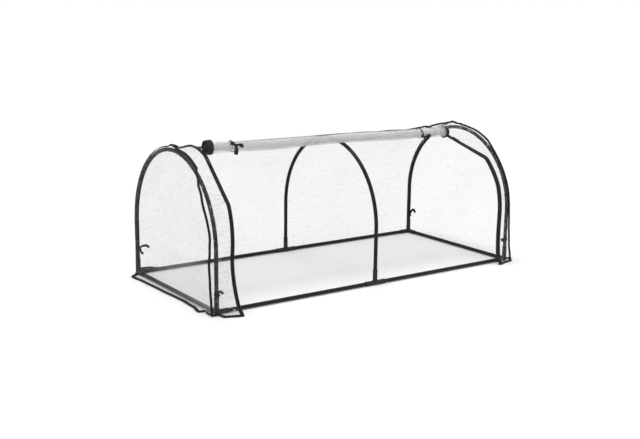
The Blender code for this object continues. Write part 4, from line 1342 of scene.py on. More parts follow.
@dataclass
class FilmCover:
    """The clear sheets that stay on the frame: the back, the two ends and the two front strips."""

    shell: Shell
    zips: dict[End, ZipRoute]
    skirt_bend: float = 0.006
    skirt_rows: int = 8
    flap_rows: int = 12
    hem_overlap: float = 0.6
    flap_lumps: float = 0.016
    strip_widths: ClassVar[dict[End, float]] = {End.LEFT: 0.135, End.RIGHT: 0.18}
    strip_areas: ClassVar[dict[End, float]] = {End.LEFT: 0.118, End.RIGHT: 0.115}
    crumple: ClassVar[dict[End, float]] = {End.LEFT: 1.0, End.RIGHT: 0.6}

    def put(self, node: str, mesh: Mesh, finish: ClearFilm) -> bpy.types.Object:
        """Place one sheet."""
        return Piece("sheet_" + node, mesh, finish, Slot.FILM, (node,), wall=self.shell.film).place()

    def foot(self, share: float, reach: float) -> Pair:
        """A point of a skirt's section, which lies on the ground and turns up into the wall.

        Args:
            share: 0 at the skirt's outer edge and 1 where the wall starts.
            reach: How far the skirt reaches from the wall.

        Returns:
            The distance out from the wall and the height.
        """
        reach = max(reach, self.skirt_bend + 0.001)
        flat = reach - self.skirt_bend
        distance = share * (flat + self.skirt_bend * math.pi / 2)
        low = self.shell.film / 2
        if distance < flat:
            return reach - distance, low
        angle = (distance - flat) / self.skirt_bend
        return self.skirt_bend * (1 - math.sin(angle)), low + self.skirt_bend * (1 - math.cos(angle))

    def rise(self, share: float, top: float) -> float:
        """The length up the section at a share of the wall and bend."""
        return between(self.skirt_bend + self.shell.film / 2, top, share)

    def back(self) -> None:
        """The rear sheet, from its skirt up the wall and over to the ridge seam."""
        shell = self.shell
        rows, columns = 84, 150
        split = self.skirt_rows / rows
        side_x = shell.seam_x(1, 1, 0.0)

        def place(across: float, up: float) -> Vector:
            x = between(-side_x, side_x, across)
            if up < split:
                reach = shell.rear_reach(x) - shell.radius - shell.hem_width * self.hem_overlap
                out, height = self.foot(up / split, reach)
                crease = 0.0035 * max(0.0, ripple(x * 14, up * 30, 2.0)) * hump(up / split)
                return Vector((x, shell.radius + out, height + crease))
            along = self.rise((up - split) / (1 - split), shell.ridge_edge)
            return shell.long_point(x, 1, along, -shell.dip(x, along) - shell.sag(x, along))

        def swell(across: float, up: float) -> float:
            x = between(-shell.end_x, shell.end_x, across)
            calm = smooth_step(shell.end_x - abs(x), 0.0, 0.05) * smooth_step(up, split, split + 0.08)
            calm *= smooth_step(1 - up, 0.0, 0.05) * (1 - math.exp(-((x / 0.03) ** 2)))
            folds = 0.0016 * ripple(x * 3.1, up * 5.0, 1.0) + 0.0007 * ripple(x * 9.0, up * 16.0, 5.0)
            return calm * folds

        size = (2 * shell.end_x, shell.ridge_edge + 0.03)
        mesh = Kit.sheet("sheet_cover_back", columns, rows, place, size, swell)
        obj = self.put("cover_back", mesh, WALL_FILM)

    def end_panel(self, end: End) -> None:
        """The D of film that closes an end, with its skirt turned out on the ground."""
        shell = self.shell
        sign = end.value
        rows, columns = 76, 64
        split = self.skirt_rows / rows
        top = shell.along(math.acos(0.003 / shell.radius))
        edge = shell.solid_film / 2
        chord = 2 * shell.radius

        def place(across: float, up: float) -> Vector:
            along = self.rise(max(up - split, 0.0) / (1 - split), top)
            front, rear = shell.seam(sign, -1, along, edge), shell.seam(sign, 1, along, edge)
            point = between(front, rear, across)
            belly = shell.panel_belly * hump(across) * hump(along / shell.length)
            wall = shell.panel_x + belly
            for side, share in ((-1, across), (1, 1 - across)):
                offset = shell.seam_x(sign, side, along) - shell.panel_x
                pull = max(0.0, 1 - 2 * share) ** 2 if offset > 0 else math.exp(-share * chord / shell.wrap)
                wall += offset * pull
            if up < split:
                share = up / split
                point.y *= between(1 - shell.skirt_corner / shell.radius, 1.0, share)
                reach = shell.end_reach(sign, point.y) - shell.hem_width * self.hem_overlap - wall
                out, height = self.foot(share, reach)
                crease = 0.004 * max(0.0, ripple(point.y * 16, share * 3, 4.0 + sign)) * hump(share)
                return Vector((sign * (wall + out), point.y, height + crease))
            point.x = sign * wall
            return point

        def swell(across: float, up: float) -> float:
            calm = hump(across) ** 0.5 * smooth_step(up, split, split + 0.1) * (1 - up) ** 0.5
            broad = 0.0020 * ripple(across * 2.4, up * 2.0, 9.0 * sign)
            return calm * (broad + 0.0008 * ripple(across * 8, up * 5, 3.0))

        size = (chord, 0.715)
        node = f"end_panel_{end.word}"
        mesh = Kit.sheet("sheet_" + node, columns, rows, place, size, swell, dense_edges=True)
        obj = self.put(node, mesh, END_FILMS[end])

    def strip_section(self, end: End, along: float) -> list[Vector]:
        """The points that a front strip passes across it, from its seam to its zip."""
        shell, sign = self.shell, end.value
        route = self.zips[end]
        edge = route.point(along) + route.across(along) * (route.width / 2 - 0.003)
        spots = [shell.seam(sign, -1, along)]
        lift = -shell.dip(0.0, along)
        for reach in (shell.hoop_spacing + 0.003, shell.hoop_spacing - 0.009):
            if reach < abs(spots[0].x) - 0.003:
                spots.append(shell.long_point(sign * reach, -1, along, lift))
        return [*spots, between(spots[-1], edge, 0.5), edge]

    def strip(self, end: End) -> None:
        """The front sheet between an end and its zip, with its flap on the ground."""
        shell, sign = self.shell, end.value
        rows, columns = 96, 22
        split = self.flap_rows / rows
        crumple = self.crumple[end]

        def section(along: float, across: float) -> Vector:
            line = rounded(self.strip_section(end, along), 8)
            spot = across * (len(line) - 1)
            low = min(int(spot), len(line) - 2)
            return between(line[low], line[low + 1], spot - low)

        def place(across: float, up: float) -> Vector:
            if up >= split:
                return section(self.rise((up - split) / (1 - split), shell.ridge_edge), across)
            share = up / split
            point = section(self.rise(0.0, 0.0), across)
            wall = max(-point.y - shell.radius, 0.0)
            reach = shell.flap(sign, across) - shell.hem_width * self.hem_overlap - wall
            out, height = self.foot(share, reach)
            lumps = abs(ripple(point.x * 60, share * 5, 1.0))
            lumps += 0.6 * abs(ripple(point.x * 130, share * 9, 6.0))
            height += self.flap_lumps * crumple * lumps * hump(min(share * 1.1, 1.0)) * hump(across) ** 0.4
            return Vector((point.x, -(shell.radius + wall) - out, height))

        def swell(across: float, up: float) -> float:
            calm = hump(across) ** 0.6 * smooth_step(1 - up, 0.0, 0.04) * smooth_step(up, split, split + 0.04)
            low = 1 + 1.5 * crumple * (1 - smooth_step(up, 0.12, 0.35))
            pulls = 0.0018 * ripple(across * 3, up * 9, 2.0 + sign)
            return calm * low * (pulls + 0.0012 * ripple(across * 7, up * 26, 8.0))

        size = (self.strip_widths[end], shell.ridge_edge + shell.flap(sign, 1.0))
        node = f"front_strip_{end.word}"
        obj = self.put(node, Kit.sheet("sheet_" + node, columns, rows, place, size, swell), STRIP_FILM)
        area = min(self.strip_areas[end], size[0] * size[1])

    def build(self) -> None:
        """All five sheets."""
        self.back()
        for end in End:
            self.end_panel(end)
            self.strip(end)


@dataclass
class Trim:
    """The black tapes on the cover: the ridge seam, the end bindings and the hems."""

    shell: Shell
    zips: dict[End, ZipRoute]
    binding_width: float = 0.0110
    binding_thickness: float = 0.0038
    lean: float = math.radians(52)
    upright: float = math.radians(24)
    ridge_lean: float = math.radians(55)
    hem_thickness: float = 0.0072
    left_hem_reach: float = 0.400

    def put(self, node: str, path: Sequence[Vector], facing: Ways, *size: float) -> None:
        """Place one tape along a path, with its width and thickness."""
        mesh = Kit.ribbon("tape_" + node, path, facing, *size)
        Piece("tape_" + node, mesh, WOVEN_TAPE, Slot.BINDINGS, (node,)).place()

    def ridge(self) -> None:
        """The seam tape along the ridge."""
        shell = self.shell
        reach = shell.seam_x(1, 1, shell.length) - 0.001
        path, facing = [], []
        for x in spread(-reach, reach, 160):
            right = max(0.6 * smooth_step(x, 0.28, 0.42), smooth_step(x, 0.56, 0.66))
            lean = self.ridge_lean * max(smooth_step(-x, 0.68, 0.74), right)
            lift = self.binding_thickness / 2 + shell.ridge_width / 2 * math.sin(lean)
            path.append(shell.long_point(x, -1, shell.length, 0.0) + Z_AXIS * lift)
            path[-1].y += 0.0008 * ripple(x * 8, 3.0)
            facing.append(Z_AXIS * math.cos(lean) - Y_AXIS * math.sin(lean))
        self.put("ridge_seam", path, facing, shell.ridge_width, self.binding_thickness)

    def binding(self, end: End) -> None:
        """The tape sewn over the seam between an end panel and the long sheets."""
        shell, sign = self.shell, end.value
        path, facing = [], []
        for side in (-1, 1):
            spans = []
            for along in spread(0.0016, shell.length, 120):
                angle = shell.elevation(along)
                high = smooth_step(angle, math.radians(40), math.radians(58))
                lean = between(self.upright, self.lean if side < 0 else self.upright, high)
                lift = shell.film + self.binding_thickness / 2 + self.binding_width / 2 * math.sin(lean)
                spot = shell.seam(sign, side, along, lift)
                spot.x += sign * 0.0008 * ripple(along * 16, 2.0 * side, sign)
                outwards = Vector((0.0, side * math.cos(max(angle, 0.0)), math.sin(max(angle, 0.0))))
                spans.append((spot, outwards * math.cos(lean) - X_AXIS * math.sin(lean)))
            spans = spans if side < 0 else spans[-2::-1]
            path += [spot for spot, _ in spans]
            facing += [way for _, way in spans]
        self.put(f"end_binding_{end.word}", path, facing, self.binding_width, self.binding_thickness)

    def hem(self, node: str, edge: Sequence[Pair]) -> None:
        """A flat hem that lies on the ground along the edge of a skirt."""
        low = self.hem_thickness / 2
        path = [Vector((x, y, low + 0.0010 * (1 + ripple(x * 15, y * 15)))) for x, y in edge]
        self.put(node, path, Z_AXIS, self.shell.hem_width, self.hem_thickness)

    def hems(self) -> None:
        """The hems of the rear skirt, the end skirts and the two front flaps."""
        shell = self.shell
        half = shell.hem_width / 2
        xs = spread(-shell.end_x + 0.002, shell.end_x - 0.002, 220)
        self.hem("hem_rear", [(x, shell.rear_reach(x) - half) for x in xs])
        for end in End:
            sign = end.value
            side = self.left_hem_reach if end is End.LEFT else shell.radius - shell.skirt_corner
            ys = spread(-side, side, 200)
            self.hem(f"hem_end_{end.word}", [(sign * (shell.end_reach(sign, y) - half), y) for y in ys])
            route = self.zips[end]
            foot = route.point(0.0) + route.across(0.0) * 0.002
            seam = sign * (shell.seam_x(sign, -1, 0.0) - 0.002)
            edge = []
            for share in spread(0.0, 1.0, 40):
                edge.append((between(seam, foot.x, share), half - shell.radius - shell.flap(sign, share)))
            self.hem(f"hem_front_{end.word}", edge)

    def build(self) -> None:
        """Every tape."""
        self.ridge()
        for end in End:
            self.binding(end)
        self.hems()


@dataclass
class DoorZip:
    """One of the two zips beside the door: its tape, its coil, its slider and its pull."""

    route: ZipRoute
    tooth_pitch: float = 0.0022
    tooth: tuple[float, float, float] = (0.0042, 0.0013, 0.0021)
    pull_length: float = 0.030
    pull_width: float = 0.009
    ring_radius: float = 0.0026
    rounding: float = 0.0006
    melt_size: float = 0.0003

    def tape(self) -> Mesh:
        """The woven tape from the ridge to the ground, a little wavy."""
        route = self.route
        low, high = 0.0014, route.shell.ridge_edge

        def place(across: float, up: float) -> Vector:
            along = between(low, high, up)
            return route.point(along) + route.across(along) * route.width * (across - 0.5)

        def swell(across: float, up: float) -> float:
            return 0.0007 * ripple(across * 1.5, up * 40, route.end.value) * hump(up)

        return Kit.sheet("zip_tape", 4, 170, place, (route.width, high - low), swell)

    def coil(self) -> Mesh:
        """The row of coil turns along the tape's door edge."""
        route = self.route
        low, high = 0.006, route.shell.ridge_edge - 0.004
        count = int((high - low) / self.tooth_pitch)
        bm = bmesh.new()
        for index in range(count):
            along = between(low, high, index / count)
            ahead = (route.point(along + 0.003) - route.point(along - 0.003)).normalized()
            across = route.across(along)
            out = across.cross(ahead)
            out = out if out.y < 0 else -out
            spot = route.point(along) - across * (route.width / 2 - 0.0006) + out * 0.0013
            basis = Matrix((across, ahead, out)).transposed().to_4x4()
            matrix = Matrix.Translation(spot) @ basis @ Matrix.Diagonal((*self.tooth, 1.0))
            made = bmesh.ops.create_cube(bm, size=1.0, matrix=matrix)["verts"]
            edges = list({edge for vert in made for edge in vert.link_edges})
            Kit.bevel(bm, edges, 0.0003, 1)
        return Kit.mesh(bm, "zip_coil")

    def slider(self) -> Mesh:
        """The slider: two plates with flared shoulders, a bridge and the pin that carries the pull."""
        height = self.route.slider_height
        pin = height + self.route.pin_height
        body = Kit.block((0.0124, 0.0205, 0.0017), (0, 0, 0.00095), self.rounding)
        cover = Kit.block((0.0112, 0.0185, 0.0017), (0, 0, height - 0.00085), self.rounding)
        core = Kit.block((0.0080, 0.0150, height - 0.001), (0, 0, height / 2), self.rounding)
        flare = (0.0026, 0.0100, height - 0.0004)
        flares = [Kit.block(flare, (side * 0.0050, -0.0045, height / 2), self.rounding) for side in (-1, 1)]
        ear = (0.0014, 0.0044, 0.0066)
        ears = [Kit.block(ear, (side * 0.0021, 0, height + 0.0024), 0.0005) for side in (-1, 1)]
        bar = Kit.rod((-0.0024, 0, pin), (0.0024, 0, pin), (0.0009, 0.0009), 20)
        return Kit.melted("zip_slider", [body, cover, core, *flares, *ears, bar], self.melt_size, 1)

    def pull(self) -> Mesh:
        """The pull: a wire ring round the pin, a neck, and a tab with a raised rim and a hole."""
        neck = self.ring_radius + 0.002
        tab = self.pull_length - neck
        rim, hole = self.pull_length - 0.001, self.pull_length - 0.0032
        solids = [
            Kit.rod((-0.0008, 0, 0), (0.0008, 0, 0), (self.ring_radius + 0.0006,) * 2, 32),
            Kit.block((0.0018, 0.0046, 0.0016), (0, neck, 0), 0.0004),
            Kit.block((self.pull_width, tab, 0.0015), (0, neck + tab / 2, 0), 0.00072, 3),
            Kit.rod((0, rim, -0.0007), (0, rim, 0.0007), (0.0040,) * 2, 32),
        ]
        cuts = [
            Kit.rod((-0.002, 0, 0), (0.002, 0, 0), (0.0013,) * 2, 32),
            Kit.rod((0, hole, -0.002), (0, hole, 0.002), (0.0017,) * 2, 32),
        ]
        return Kit.melted("zip_pull", solids, self.melt_size, 1, cuts)

    def build(self) -> None:
        """The zip's four pieces."""
        word, route = self.route.end.word, self.route
        node = (f"zip_{word}",)
        Piece(f"zip_tape_{word}", self.tape(), ZIP_TAPE, Slot.ZIP_TAPE, node, wall=route.thickness).place()
        Piece(f"zip_coil_{word}", self.coil(), ZIP_COIL, Slot.ZIP_TAPE, node).place()
        place = route.slider_frame()
        pin = place @ Matrix.Translation((0, 0, route.slider_height + route.pin_height))
        for part, mesh, matrix in (("slider", self.slider(), place), ("pull", self.pull(), pin)):
            mesh.transform(matrix)
            nodes = (f"zip_{part}_{word}",)
            Piece(f"cast_{part}_{word}", mesh, PAINTED_METAL, Slot.HARDWARE, nodes, f"{word}_{part}").place()


@dataclass(frozen=True)
class Drum:
    """The size of the zip tape wound up at one end of the roll."""

    left: float
    right: float
    radius: float
    turns: int
    taper: float
    taper_power: int
    slack: float


@dataclass(frozen=True)
class Knotted:
    """Where a tie goes round the roll, where its knot sits, and each tail's bends and width."""

    x: float
    knot_angle: float
    tails: tuple[tuple[float, Bends], ...]


@dataclass
class RolledDoor:
    """The door: its head over the hoops, the roll, the zip tape wound at both ends, and the ties."""

    shell: Shell
    left_x: float = -0.7705
    right_x: float = 0.620
    radius: float = 0.026
    core: float = 0.006
    turns: int = 8
    turn_steps: int = 24
    head_end_gap: float = 0.004
    curtain_height: float = 0.0075
    curtain_inset: float = 0.002
    curtain_slack: float = 0.0028
    tie_width: float = 0.012
    tie_thickness: float = 0.0012
    tie_clearance: float = 0.0005
    tie_slant: float = -0.013
    tail_thickness: float = 0.0040
    film_left: float = -0.797
    film_right: float = 0.640
    droop: float = math.radians(2.0)
    drum_core: float = 0.010
    drum_tape: float = 0.0016
    knot_out: float = 0.0045
    slack_angle: float = math.radians(150)
    drums: ClassVar[dict[End, Drum]] = {
        End.LEFT: Drum(-0.8008, -0.7718, 0.0362, 5, 0.14, 2, 0.16),
        End.RIGHT: Drum(0.6303, 0.6573, 0.032, 6, 0.34, 3, 0.0),
    }
    ties: ClassVar[dict[End, Knotted]] = {
        End.LEFT: Knotted(-0.654, math.radians(164), (
            (0.017, ((0, 0, 0), (-0.011, -0.003, 0.003), (-0.020, -0.002, 0.009), (-0.029, -0.001, 0.0115))),
            (0.016, ((0, 0, 0), (0.012, -0.004, 0.001), (0.024, -0.003, -0.003), (0.037, -0.001, -0.0055))),
            (0.016, ((0, 0, 0), (0.000, -0.006, -0.012), (-0.003, -0.009, -0.028), (-0.009, -0.008, -0.043))),
        )),
        End.RIGHT: Knotted(0.472, math.radians(210), (
            (0.014, ((0, 0, 0), (-0.006, -0.004, 0.001), (-0.012, -0.005, 0.002), (-0.018, -0.003, 0.002))),
            (0.014, ((0, 0, 0), (0.012, -0.004, 0.001), (0.026, -0.006, 0.004), (0.040, -0.005, 0.0075))),
            (0.010, ((0, 0, 0), (0.002, -0.004, -0.004), (0.004, -0.004, -0.008), (0.005, -0.003, -0.012))),
        )),
    }

    def section(self, angle: float) -> Vector:
        """The middle of the roll's section where it lies at an angle on the bend."""
        shell = self.shell
        below = shell.solid_film / 2 + self.tie_thickness + 2 * self.tie_clearance
        return shell.bend(0.0, -(shell.radius + below + self.radius), angle)

    @property
    def centre(self) -> Vector:
        """The middle of the roll's section."""
        return self.section(self.shell.roll_elevation)

    def fatness(self, x: float) -> float:
        """How thick the roll is at x, as a share of its radius: it is pinched at the ties."""
        knots = (
            (-0.77, 0.98), (-0.65, 0.97), (-0.56, 1.08), (-0.42, 1.03), (-0.28, 1.03), (-0.107, 0.84),
            (0.08, 0.98), (0.345, 1.03), (0.462, 0.93), (0.55, 1.0), (0.605, 1.0), (0.636, 1.13),
        )
        return along_knots(knots, x)

    def hang(self, x: float) -> Vector:
        """How far the roll's middle lies from its straight line at x, where it slips down the bend."""
        slipped = self.section(self.shell.roll_elevation - self.droop * smooth_step(x, -0.05, 0.36))
        knots = (
            (-0.79, 0.0080), (-0.70, 0.0060), (-0.62, 0.0035), (-0.53, 0.0), (-0.42, -0.0025), (-0.31, 0.0),
            (0.58, 0.0), (0.63, -0.0030),
        )
        return slipped - self.centre + Z_AXIS * along_knots(knots, x)

    def wound_length(self, core: float, outer: float, turns: int) -> float:
        """The length of a sheet that is wound up in a number of turns."""
        return sum(2 * math.pi * between(core, outer, (turn + 0.5) / turns) for turn in range(turns))

    def spiral(
        self, name: str, ends: Pair, radii: Pair, turns: int, columns: int,
        steps: int, shape: Callable[[float, float, float], float],
    ) -> Mesh:
        """Roll up a sheet round the X axis.

        Args:
            name: The mesh's name.
            ends: Where the roll starts and ends along the tunnel.
            radii: The radii of its first and last turns.
            turns: How many turns it has.
            columns: The faces along the tunnel.
            steps: The faces in one turn.
            shape: A share for the radius, from x, the angle and how far out the turn is.

        Returns:
            The roll's mesh.
        """
        centre = self.centre
        last = self.shell.roll_elevation - math.pi

        def place(across: float, up: float) -> Vector:
            x = between(*ends, across)
            angle = last + 2 * math.pi * turns * (1 - up)
            radius = between(*radii, up**0.9) * shape(x, angle, up)
            spot = Vector((x, centre.y - radius * math.cos(angle), centre.z + radius * math.sin(angle)))
            return spot + self.hang(x)

        size = (ends[1] - ends[0], self.wound_length(*radii, turns))
        return Kit.sheet(name, columns, turns * steps, place, size)

    def roll(self) -> None:
        """The film, rolled loosely and pinched where it is tied."""

        def shape(x: float, angle: float, up: float) -> float:
            share = self.fatness(x)
            droop = 1 + 0.05 * math.sin(angle) * (share - 0.9) * 4
            folds = 0.05 * up * ripple(x * 7, math.cos(angle) * 1.6, math.sin(angle) * 1.6)
            folds += 0.03 * up * ripple(x * 23, math.cos(angle) * 3.2, math.sin(angle) * 3.2 + up * 3)
            gather = sum(math.exp(-(((x - tie.x) / 0.02) ** 2)) for tie in self.ties.values())
            return share * droop * (1 + folds) * (1 - 0.05 * gather)

        ends, radii = (self.film_left, self.film_right), (self.core, self.radius - 0.0004)
        mesh = self.spiral("rolled_door_film", ends, radii, self.turns, 130, self.turn_steps, shape)
        wall = self.shell.film
        obj = Piece("rolled_door_film", mesh, ROLL_FILM, Slot.FILM, ("door_roll",), "door", wall).place()
        size = (self.film_right - self.film_left, self.wound_length(self.core, self.radius, self.turns))

    def drum(self, end: End) -> None:
        """The zip tape wound up at one end of the roll."""
        drum = self.drums[end]

        def shape(x: float, angle: float, up: float) -> float:
            inwards = (x - drum.left) / (drum.right - drum.left)
            inwards = inwards if end is End.RIGHT else 1 - inwards
            cone = 1 - drum.taper * inwards**drum.taper_power
            loose = 0.05 * ripple(math.cos(angle) * 1.7, math.sin(angle) * 1.7, up * 6 + end.value)
            slack = smooth_step(up, 0.72, 0.95) * max(0.0, math.cos(angle - self.slack_angle)) * inwards
            return cone * (1 + loose * (0.4 + up) + drum.slack * slack)

        radii = (self.drum_core, drum.radius - 0.0009)
        name, node = f"wound_zip_{end.word}", (f"door_zip_{end.word}",)
        mesh = self.spiral(name, (drum.left, drum.right), radii, drum.turns, 10, 36, shape)
        Piece(name, mesh, WOUND_ZIP_TAPE, Slot.ZIP_TAPE, node, "door", wall=self.drum_tape).place()

    def head(self) -> None:
        """The top of the door, which lies over the hoops from the ridge seam to the roll."""
        shell = self.shell
        low = shell.along(shell.roll_elevation) + self.head_end_gap

        def place(across: float, up: float) -> Vector:
            x = between(self.left_x, self.right_x, across)
            rest = math.exp(-((x / 0.05) ** 2))
            lift = -0.0022 * rest + (0.0006 * ripple(x * 9, up * 3, 4.0) - 0.0008 * (1 - rest)) * hump(up)
            return shell.point(x, -1, between(low, shell.ridge_edge, up), lift)

        size = (self.right_x - self.left_x, shell.ridge_edge - low)
        mesh = Kit.sheet("sheet_door_head", 110, 12, place, size)
        obj = Piece("sheet_door_head", mesh, HEAD_FILM, Slot.FILM, ("door_head",), wall=shell.film).place()

    def curtain(self) -> None:
        """The strip of film between the head and the roll; on the tunnel it unrolls over the hoops with the
        door, but this piece stays fixed in place.
        """
        shell = self.shell
        top = shell.along(shell.roll_elevation) + self.head_end_gap
        foot = top - self.curtain_height

        def place(across: float, up: float) -> Vector:
            x = between(self.left_x + self.curtain_inset, self.right_x - self.curtain_inset, across)
            slack = self.curtain_slack + max(0.0, self.hang(x).z)
            lift = between(slack, 0.0, smooth_step(up, 0.0, 1.0)) - 0.0002
            return shell.point(x, -1, between(foot, top, up), lift)

        size = (self.right_x - self.left_x - 2 * self.curtain_inset, 0.0101)
        mesh = Kit.sheet("door_curtain", 24, 64, place, size)
        obj = Piece("door_curtain", mesh, HEAD_FILM, Slot.FILM, (), "", wall=shell.film).place()
        start, stop = shell.point(0.0, -1, top), shell.point(0.0, -1, foot, self.curtain_slack)
        tuple(start)
        tuple(stop)
        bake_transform(obj)

    def slant(self, end: End, angle: float) -> float:
        """How far a tie's band is pulled along the roll at an angle, which is nothing at its knot."""
        knot = math.sin(self.ties[end].knot_angle)
        return self.tie_slant * max(0.0, math.sin(angle) - knot) / (1 - knot)

    def tie(self, end: End) -> None:
        """A tape tied round the roll: its band, its knot and its tails."""
        tie = self.ties[end]
        centre = self.centre + self.hang(tie.x) + X_AXIS * tie.x
        inner = self.radius + self.tie_clearance + self.tie_thickness / 2
        loop, facing = [], []
        for angle in spread(0.0, 2 * math.pi, 48):
            out = Vector((0.0, math.cos(angle), math.sin(angle)))
            radius = inner * (1 - 0.02 * (1 + math.cos(3 * angle + tie.x)))
            loop.append(centre + out * radius + X_AXIS * self.slant(end, angle))
            facing.append(out)
        pieces = [Kit.ribbon("band", loop, facing, self.tie_width * 0.6, self.tie_thickness)]
        out = Vector((0.0, math.cos(tie.knot_angle), math.sin(tie.knot_angle)))
        knot = centre + out * (inner + self.knot_out)
        for number, (width, bends) in enumerate(tie.tails):
            path = rounded([knot + Vector(bend) for bend in bends], 7)
            twists = [0.15 * math.sin(index * 0.5 + number) - 0.5 for index in range(len(path))]
            ways = [Vector((twist, -1.0, 0.4)) for twist in twists]
            pieces.append(Kit.tail(path, ways, width, self.tail_thickness, (0.50, 1.15), 0.8))
        turn = Matrix.Rotation(tie.knot_angle, 4, "X")
        pieces.append(Kit.ball(knot, (0.0062, 0.0046, 0.0052), turn))
        pieces.append(Kit.ball(knot + Vector((0.0035, -0.0014, -0.002)), (0.0040, 0.0036, 0.0046), turn))
        name, node = f"tied_roll_{end.word}", (f"roll_tie_{end.word}",)
        Piece(name, Kit.joined(name, pieces), TIE_TAPE, Slot.TIES, node, "door").place()

    def strap(self, end: End) -> None:
        """The sewn end of a roll tie, which lies on the cover from the ridge seam to under the roll."""
        shell = self.shell
        low = shell.along(shell.roll_elevation + math.radians(1.5))
        lean = self.slant(end, math.radians(60))
        lift = self.tie_thickness + 0.0012
        path, facing = [], []
        for share in spread(0.0, 1.0, 14):
            spot = (self.ties[end].x + lean * share, -1, between(shell.length - 0.003, low, share))
            path.append(shell.long_point(*spot, lift))
            facing.append((shell.long_point(*spot, lift + 0.01) - path[-1]).normalized())
        node = f"tie_strap_{end.word}"
        mesh = Kit.ribbon(f"strap_{end.word}", path, facing, self.tie_width, self.tie_thickness)
        Piece("sewn_" + node, mesh, TIE_TAPE, Slot.TIES, (node,)).place()

    def build(self) -> None:
        """The whole door."""
        self.head()
        self.roll()
        self.curtain()
        for end in End:
            self.drum(end)
            self.strap(end)
            self.tie(end)


@dataclass
class LegTie:
    """A tape tied round a leg inside the cover."""

    shell: Shell
    end: End
    side: Side
    height: float
    tails: Sequence[Bends]
    width: float = 0.012
    thickness: float = 0.0018
    tail_thickness: float = 0.0024
    knot_out: float = 0.0034
    sight: Point = (-0.55, -0.80, 0.25)

    def build(self) -> None:
        """Its band, its knot and its tails, which stand off into the tunnel."""
        shell, end, side = self.shell, self.end, self.side
        centre = Vector((end.value * shell.hoop_spacing, side.value * shell.arch_radius, self.height))
        inner = shell.tube_radius + 0.0004 + self.thickness / 2
        loop, facing = [], []
        for angle in spread(0.0, 2 * math.pi, 32):
            out = Vector((math.cos(angle), math.sin(angle), 0.0))
            loop.append(centre + out * inner + Z_AXIS * 0.0012 * math.sin(angle))
            facing.append(out)
        knot = centre + Vector(self.tails[0][0]).normalized() * (inner + self.knot_out)
        pieces = [Kit.ribbon("band", loop, facing, self.width * 0.8, self.thickness)]
        pieces.append(Kit.ball(knot, (0.0050, 0.0050, 0.0056)))
        sight = Vector(self.sight)
        for bends in self.tails:
            spots = [centre + Vector((-end.value * away, across, up)) for away, across, up in bends]
            path = rounded([knot, *spots], 7)
            pieces.append(Kit.tail(path, sight, self.width, self.tail_thickness, (0.7, 1.05), 0.6))
        node = f"leg_tie_{end.word}_{side.word}"
        Piece("tied_" + node, Kit.joined("tied_" + node, pieces), TIE_TAPE, Slot.TIES, (node,)).place()


LEG_TIES = (
    (End.LEFT, Side.REAR, 0.128, (
        ((0.016, -0.004, 0.014), (0.030, -0.004, 0.018), (0.048, -0.002, 0.015), (0.061, 0.0, 0.003)),
        ((0.015, -0.006, -0.012), (0.021, -0.006, -0.019), (0.027, -0.005, -0.022)),
    )),
    (End.LEFT, Side.FRONT, 0.092, (
        ((0.014, 0.003, 0.006), (0.022, 0.004, 0.010), (0.030, 0.004, 0.004), (0.034, 0.004, -0.004)),
        ((0.013, 0.004, -0.006), (0.017, 0.004, -0.012)),
    )),
    (End.RIGHT, Side.FRONT, 0.118, (
        ((0.014, 0.002, 0.002), (0.022, 0.000, 0.003), (0.030, -0.002, 0.000)),
        ((0.012, 0.004, -0.006), (0.016, 0.004, -0.012)),
    )),
    (End.RIGHT, Side.REAR, 0.118, (
        ((0.010, -0.022, 0.010), (0.012, -0.038, 0.024), (0.012, -0.056, 0.035), (0.012, -0.072, 0.019)),
        ((0.010, -0.022, 0.000), (0.012, -0.029, -0.010)),
    )),
)


@dataclass(frozen=True)
class PaleFloor(Finish):
    """A plain pale floor, a little brighter where it is looked at."""

    level: float = 0.90
    glow: float = 0.13

    def dress(self, nodes: Nodes, shader: bpy.types.Node) -> None:
        """A matt grey, and a glow that lights nothing else."""
        values = {
            "Base Color": grey(self.level),
            "Roughness": 0.9,
            "Specular IOR Level": 0.0,
            "Emission Color": grey(1.0),
            "Emission Strength": nodes.times(nodes.seen(), self.glow),
        }
        nodes.fill(shader, values)


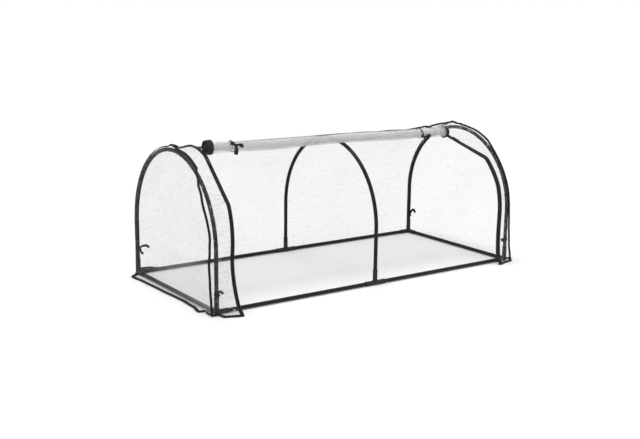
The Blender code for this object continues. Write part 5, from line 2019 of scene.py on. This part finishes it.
@dataclass
class Studio:
    """The floor, the light and the camera."""

    eye: Point = (-2.960, -4.124, 1.350)
    target: Point = (-0.1515, -0.1413, 0.2990)
    roll: float = math.radians(0.68)
    lens: float = 56.143
    floor_size: float = 300.0
    world_light: float = 0.42
    sun_light: float = 1.80
    sun_spread: float = math.radians(28)
    sun_place: Point = (0.0, 0.0, 4.0)
    sun_aim: Point = (0.05, -0.10, 3.0)
    lamp_aim: Point = (0.0, 0.0, 0.3)
    lamps: Sequence[tuple[str, Point, Pair, float]] = (
        ("front_light", (-2.2, -3.2, 2.4), (2.4, 1.8), 9.0),
        ("side_light", (3.4, -1.2, 2.0), (2.0, 1.6), 6.0),
    )

    def put(self, data: bpy.types.ID, place: Point, aim: Point, roll: float = 0.0) -> bpy.types.Object:
        """Put a lamp or a camera in the scene, aimed at a point."""
        obj = new_object(data.name, data)
        turn = (Vector(aim) - Vector(place)).to_track_quat("-Z", "Y").to_matrix().to_4x4()
        obj.matrix_world = Matrix.Translation(place) @ turn @ Matrix.Rotation(roll, 4, "Z")
        return obj

    def floor(self) -> None:
        """The plane that the tunnel stands on."""
        bm = bmesh.new()
        bmesh.ops.create_grid(bm, x_segments=1, y_segments=1, size=self.floor_size)
        obj = new_object("floor", Kit.mesh(bm, "floor", smooth=False))
        obj.data.materials.append(PaleFloor("pale_floor").material())
        obj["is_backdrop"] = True

    def world(self) -> None:
        """Soft light from all round, and a white background."""
        world = bpy.data.worlds.new("studio")
        bpy.context.scene.world = world
        world.use_nodes = True
        nodes = Nodes(world.node_tree)
        strength = nodes.ramp(nodes.seen(), 0.0, 1.0, self.world_light, 1.0)
        nodes.fill(world.node_tree.nodes["Background"], {"Color": grey(1.0), "Strength": strength})

    def sun(self) -> None:
        """A wide, even light from above that lights the whole floor alike."""
        data = bpy.data.lights.new("overhead_light", "SUN")
        data.energy = self.sun_light
        data.angle = self.sun_spread
        self.put(data, self.sun_place, self.sun_aim)

    def lamp(self, name: str, place: Point, size: Pair, power: float) -> None:
        """A large soft lamp that faces the tunnel."""
        data = bpy.data.lights.new(name, "AREA")
        data.shape = "RECTANGLE"
        data.size, data.size_y = size
        data.energy = power
        self.put(data, place, self.lamp_aim)

    def camera(self) -> None:
        """The camera, at the photograph's viewing angle."""
        data = bpy.data.cameras.new("camera")
        data.sensor_width = 36.0
        data.lens = self.lens
        bpy.context.scene.camera = self.put(data, self.eye, self.target, self.roll)

    def build(self) -> None:
        """Set up the whole studio."""
        scene = bpy.context.scene
        scene.view_settings.view_transform = "Standard"
        scene.cycles.transparent_max_bounces = 72
        self.camera()
        self.floor()
        self.world()
        self.sun()
        for lamp in self.lamps:
            self.lamp(*lamp)


def main() -> None:
    """Build every piece of the tunnel and its studio."""
    logging.basicConfig(level=logging.INFO, format="%(message)s")
    shell = Shell()
    zips = {End.LEFT: ZipRoute(shell, End.LEFT, 0.018), End.RIGHT: ZipRoute(shell, End.RIGHT, 0.030)}
    Studio().build()
    SteelFrame(shell).build()
    FilmCover(shell, zips).build()
    Trim(shell, zips).build()
    for end in End:
        DoorZip(zips[end]).build()
    RolledDoor(shell).build()
    for tie in LEG_TIES:
        LegTie(shell, *tie).build()
    bpy.context.view_layer.update()
    boxes = [[[float(value) for value in corner] for corner in box] for box in (CAD_BOUNDS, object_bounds())]
    log.info("CAD box %s, visual box %s", *boxes)


if __name__ == "__main__":
    main()
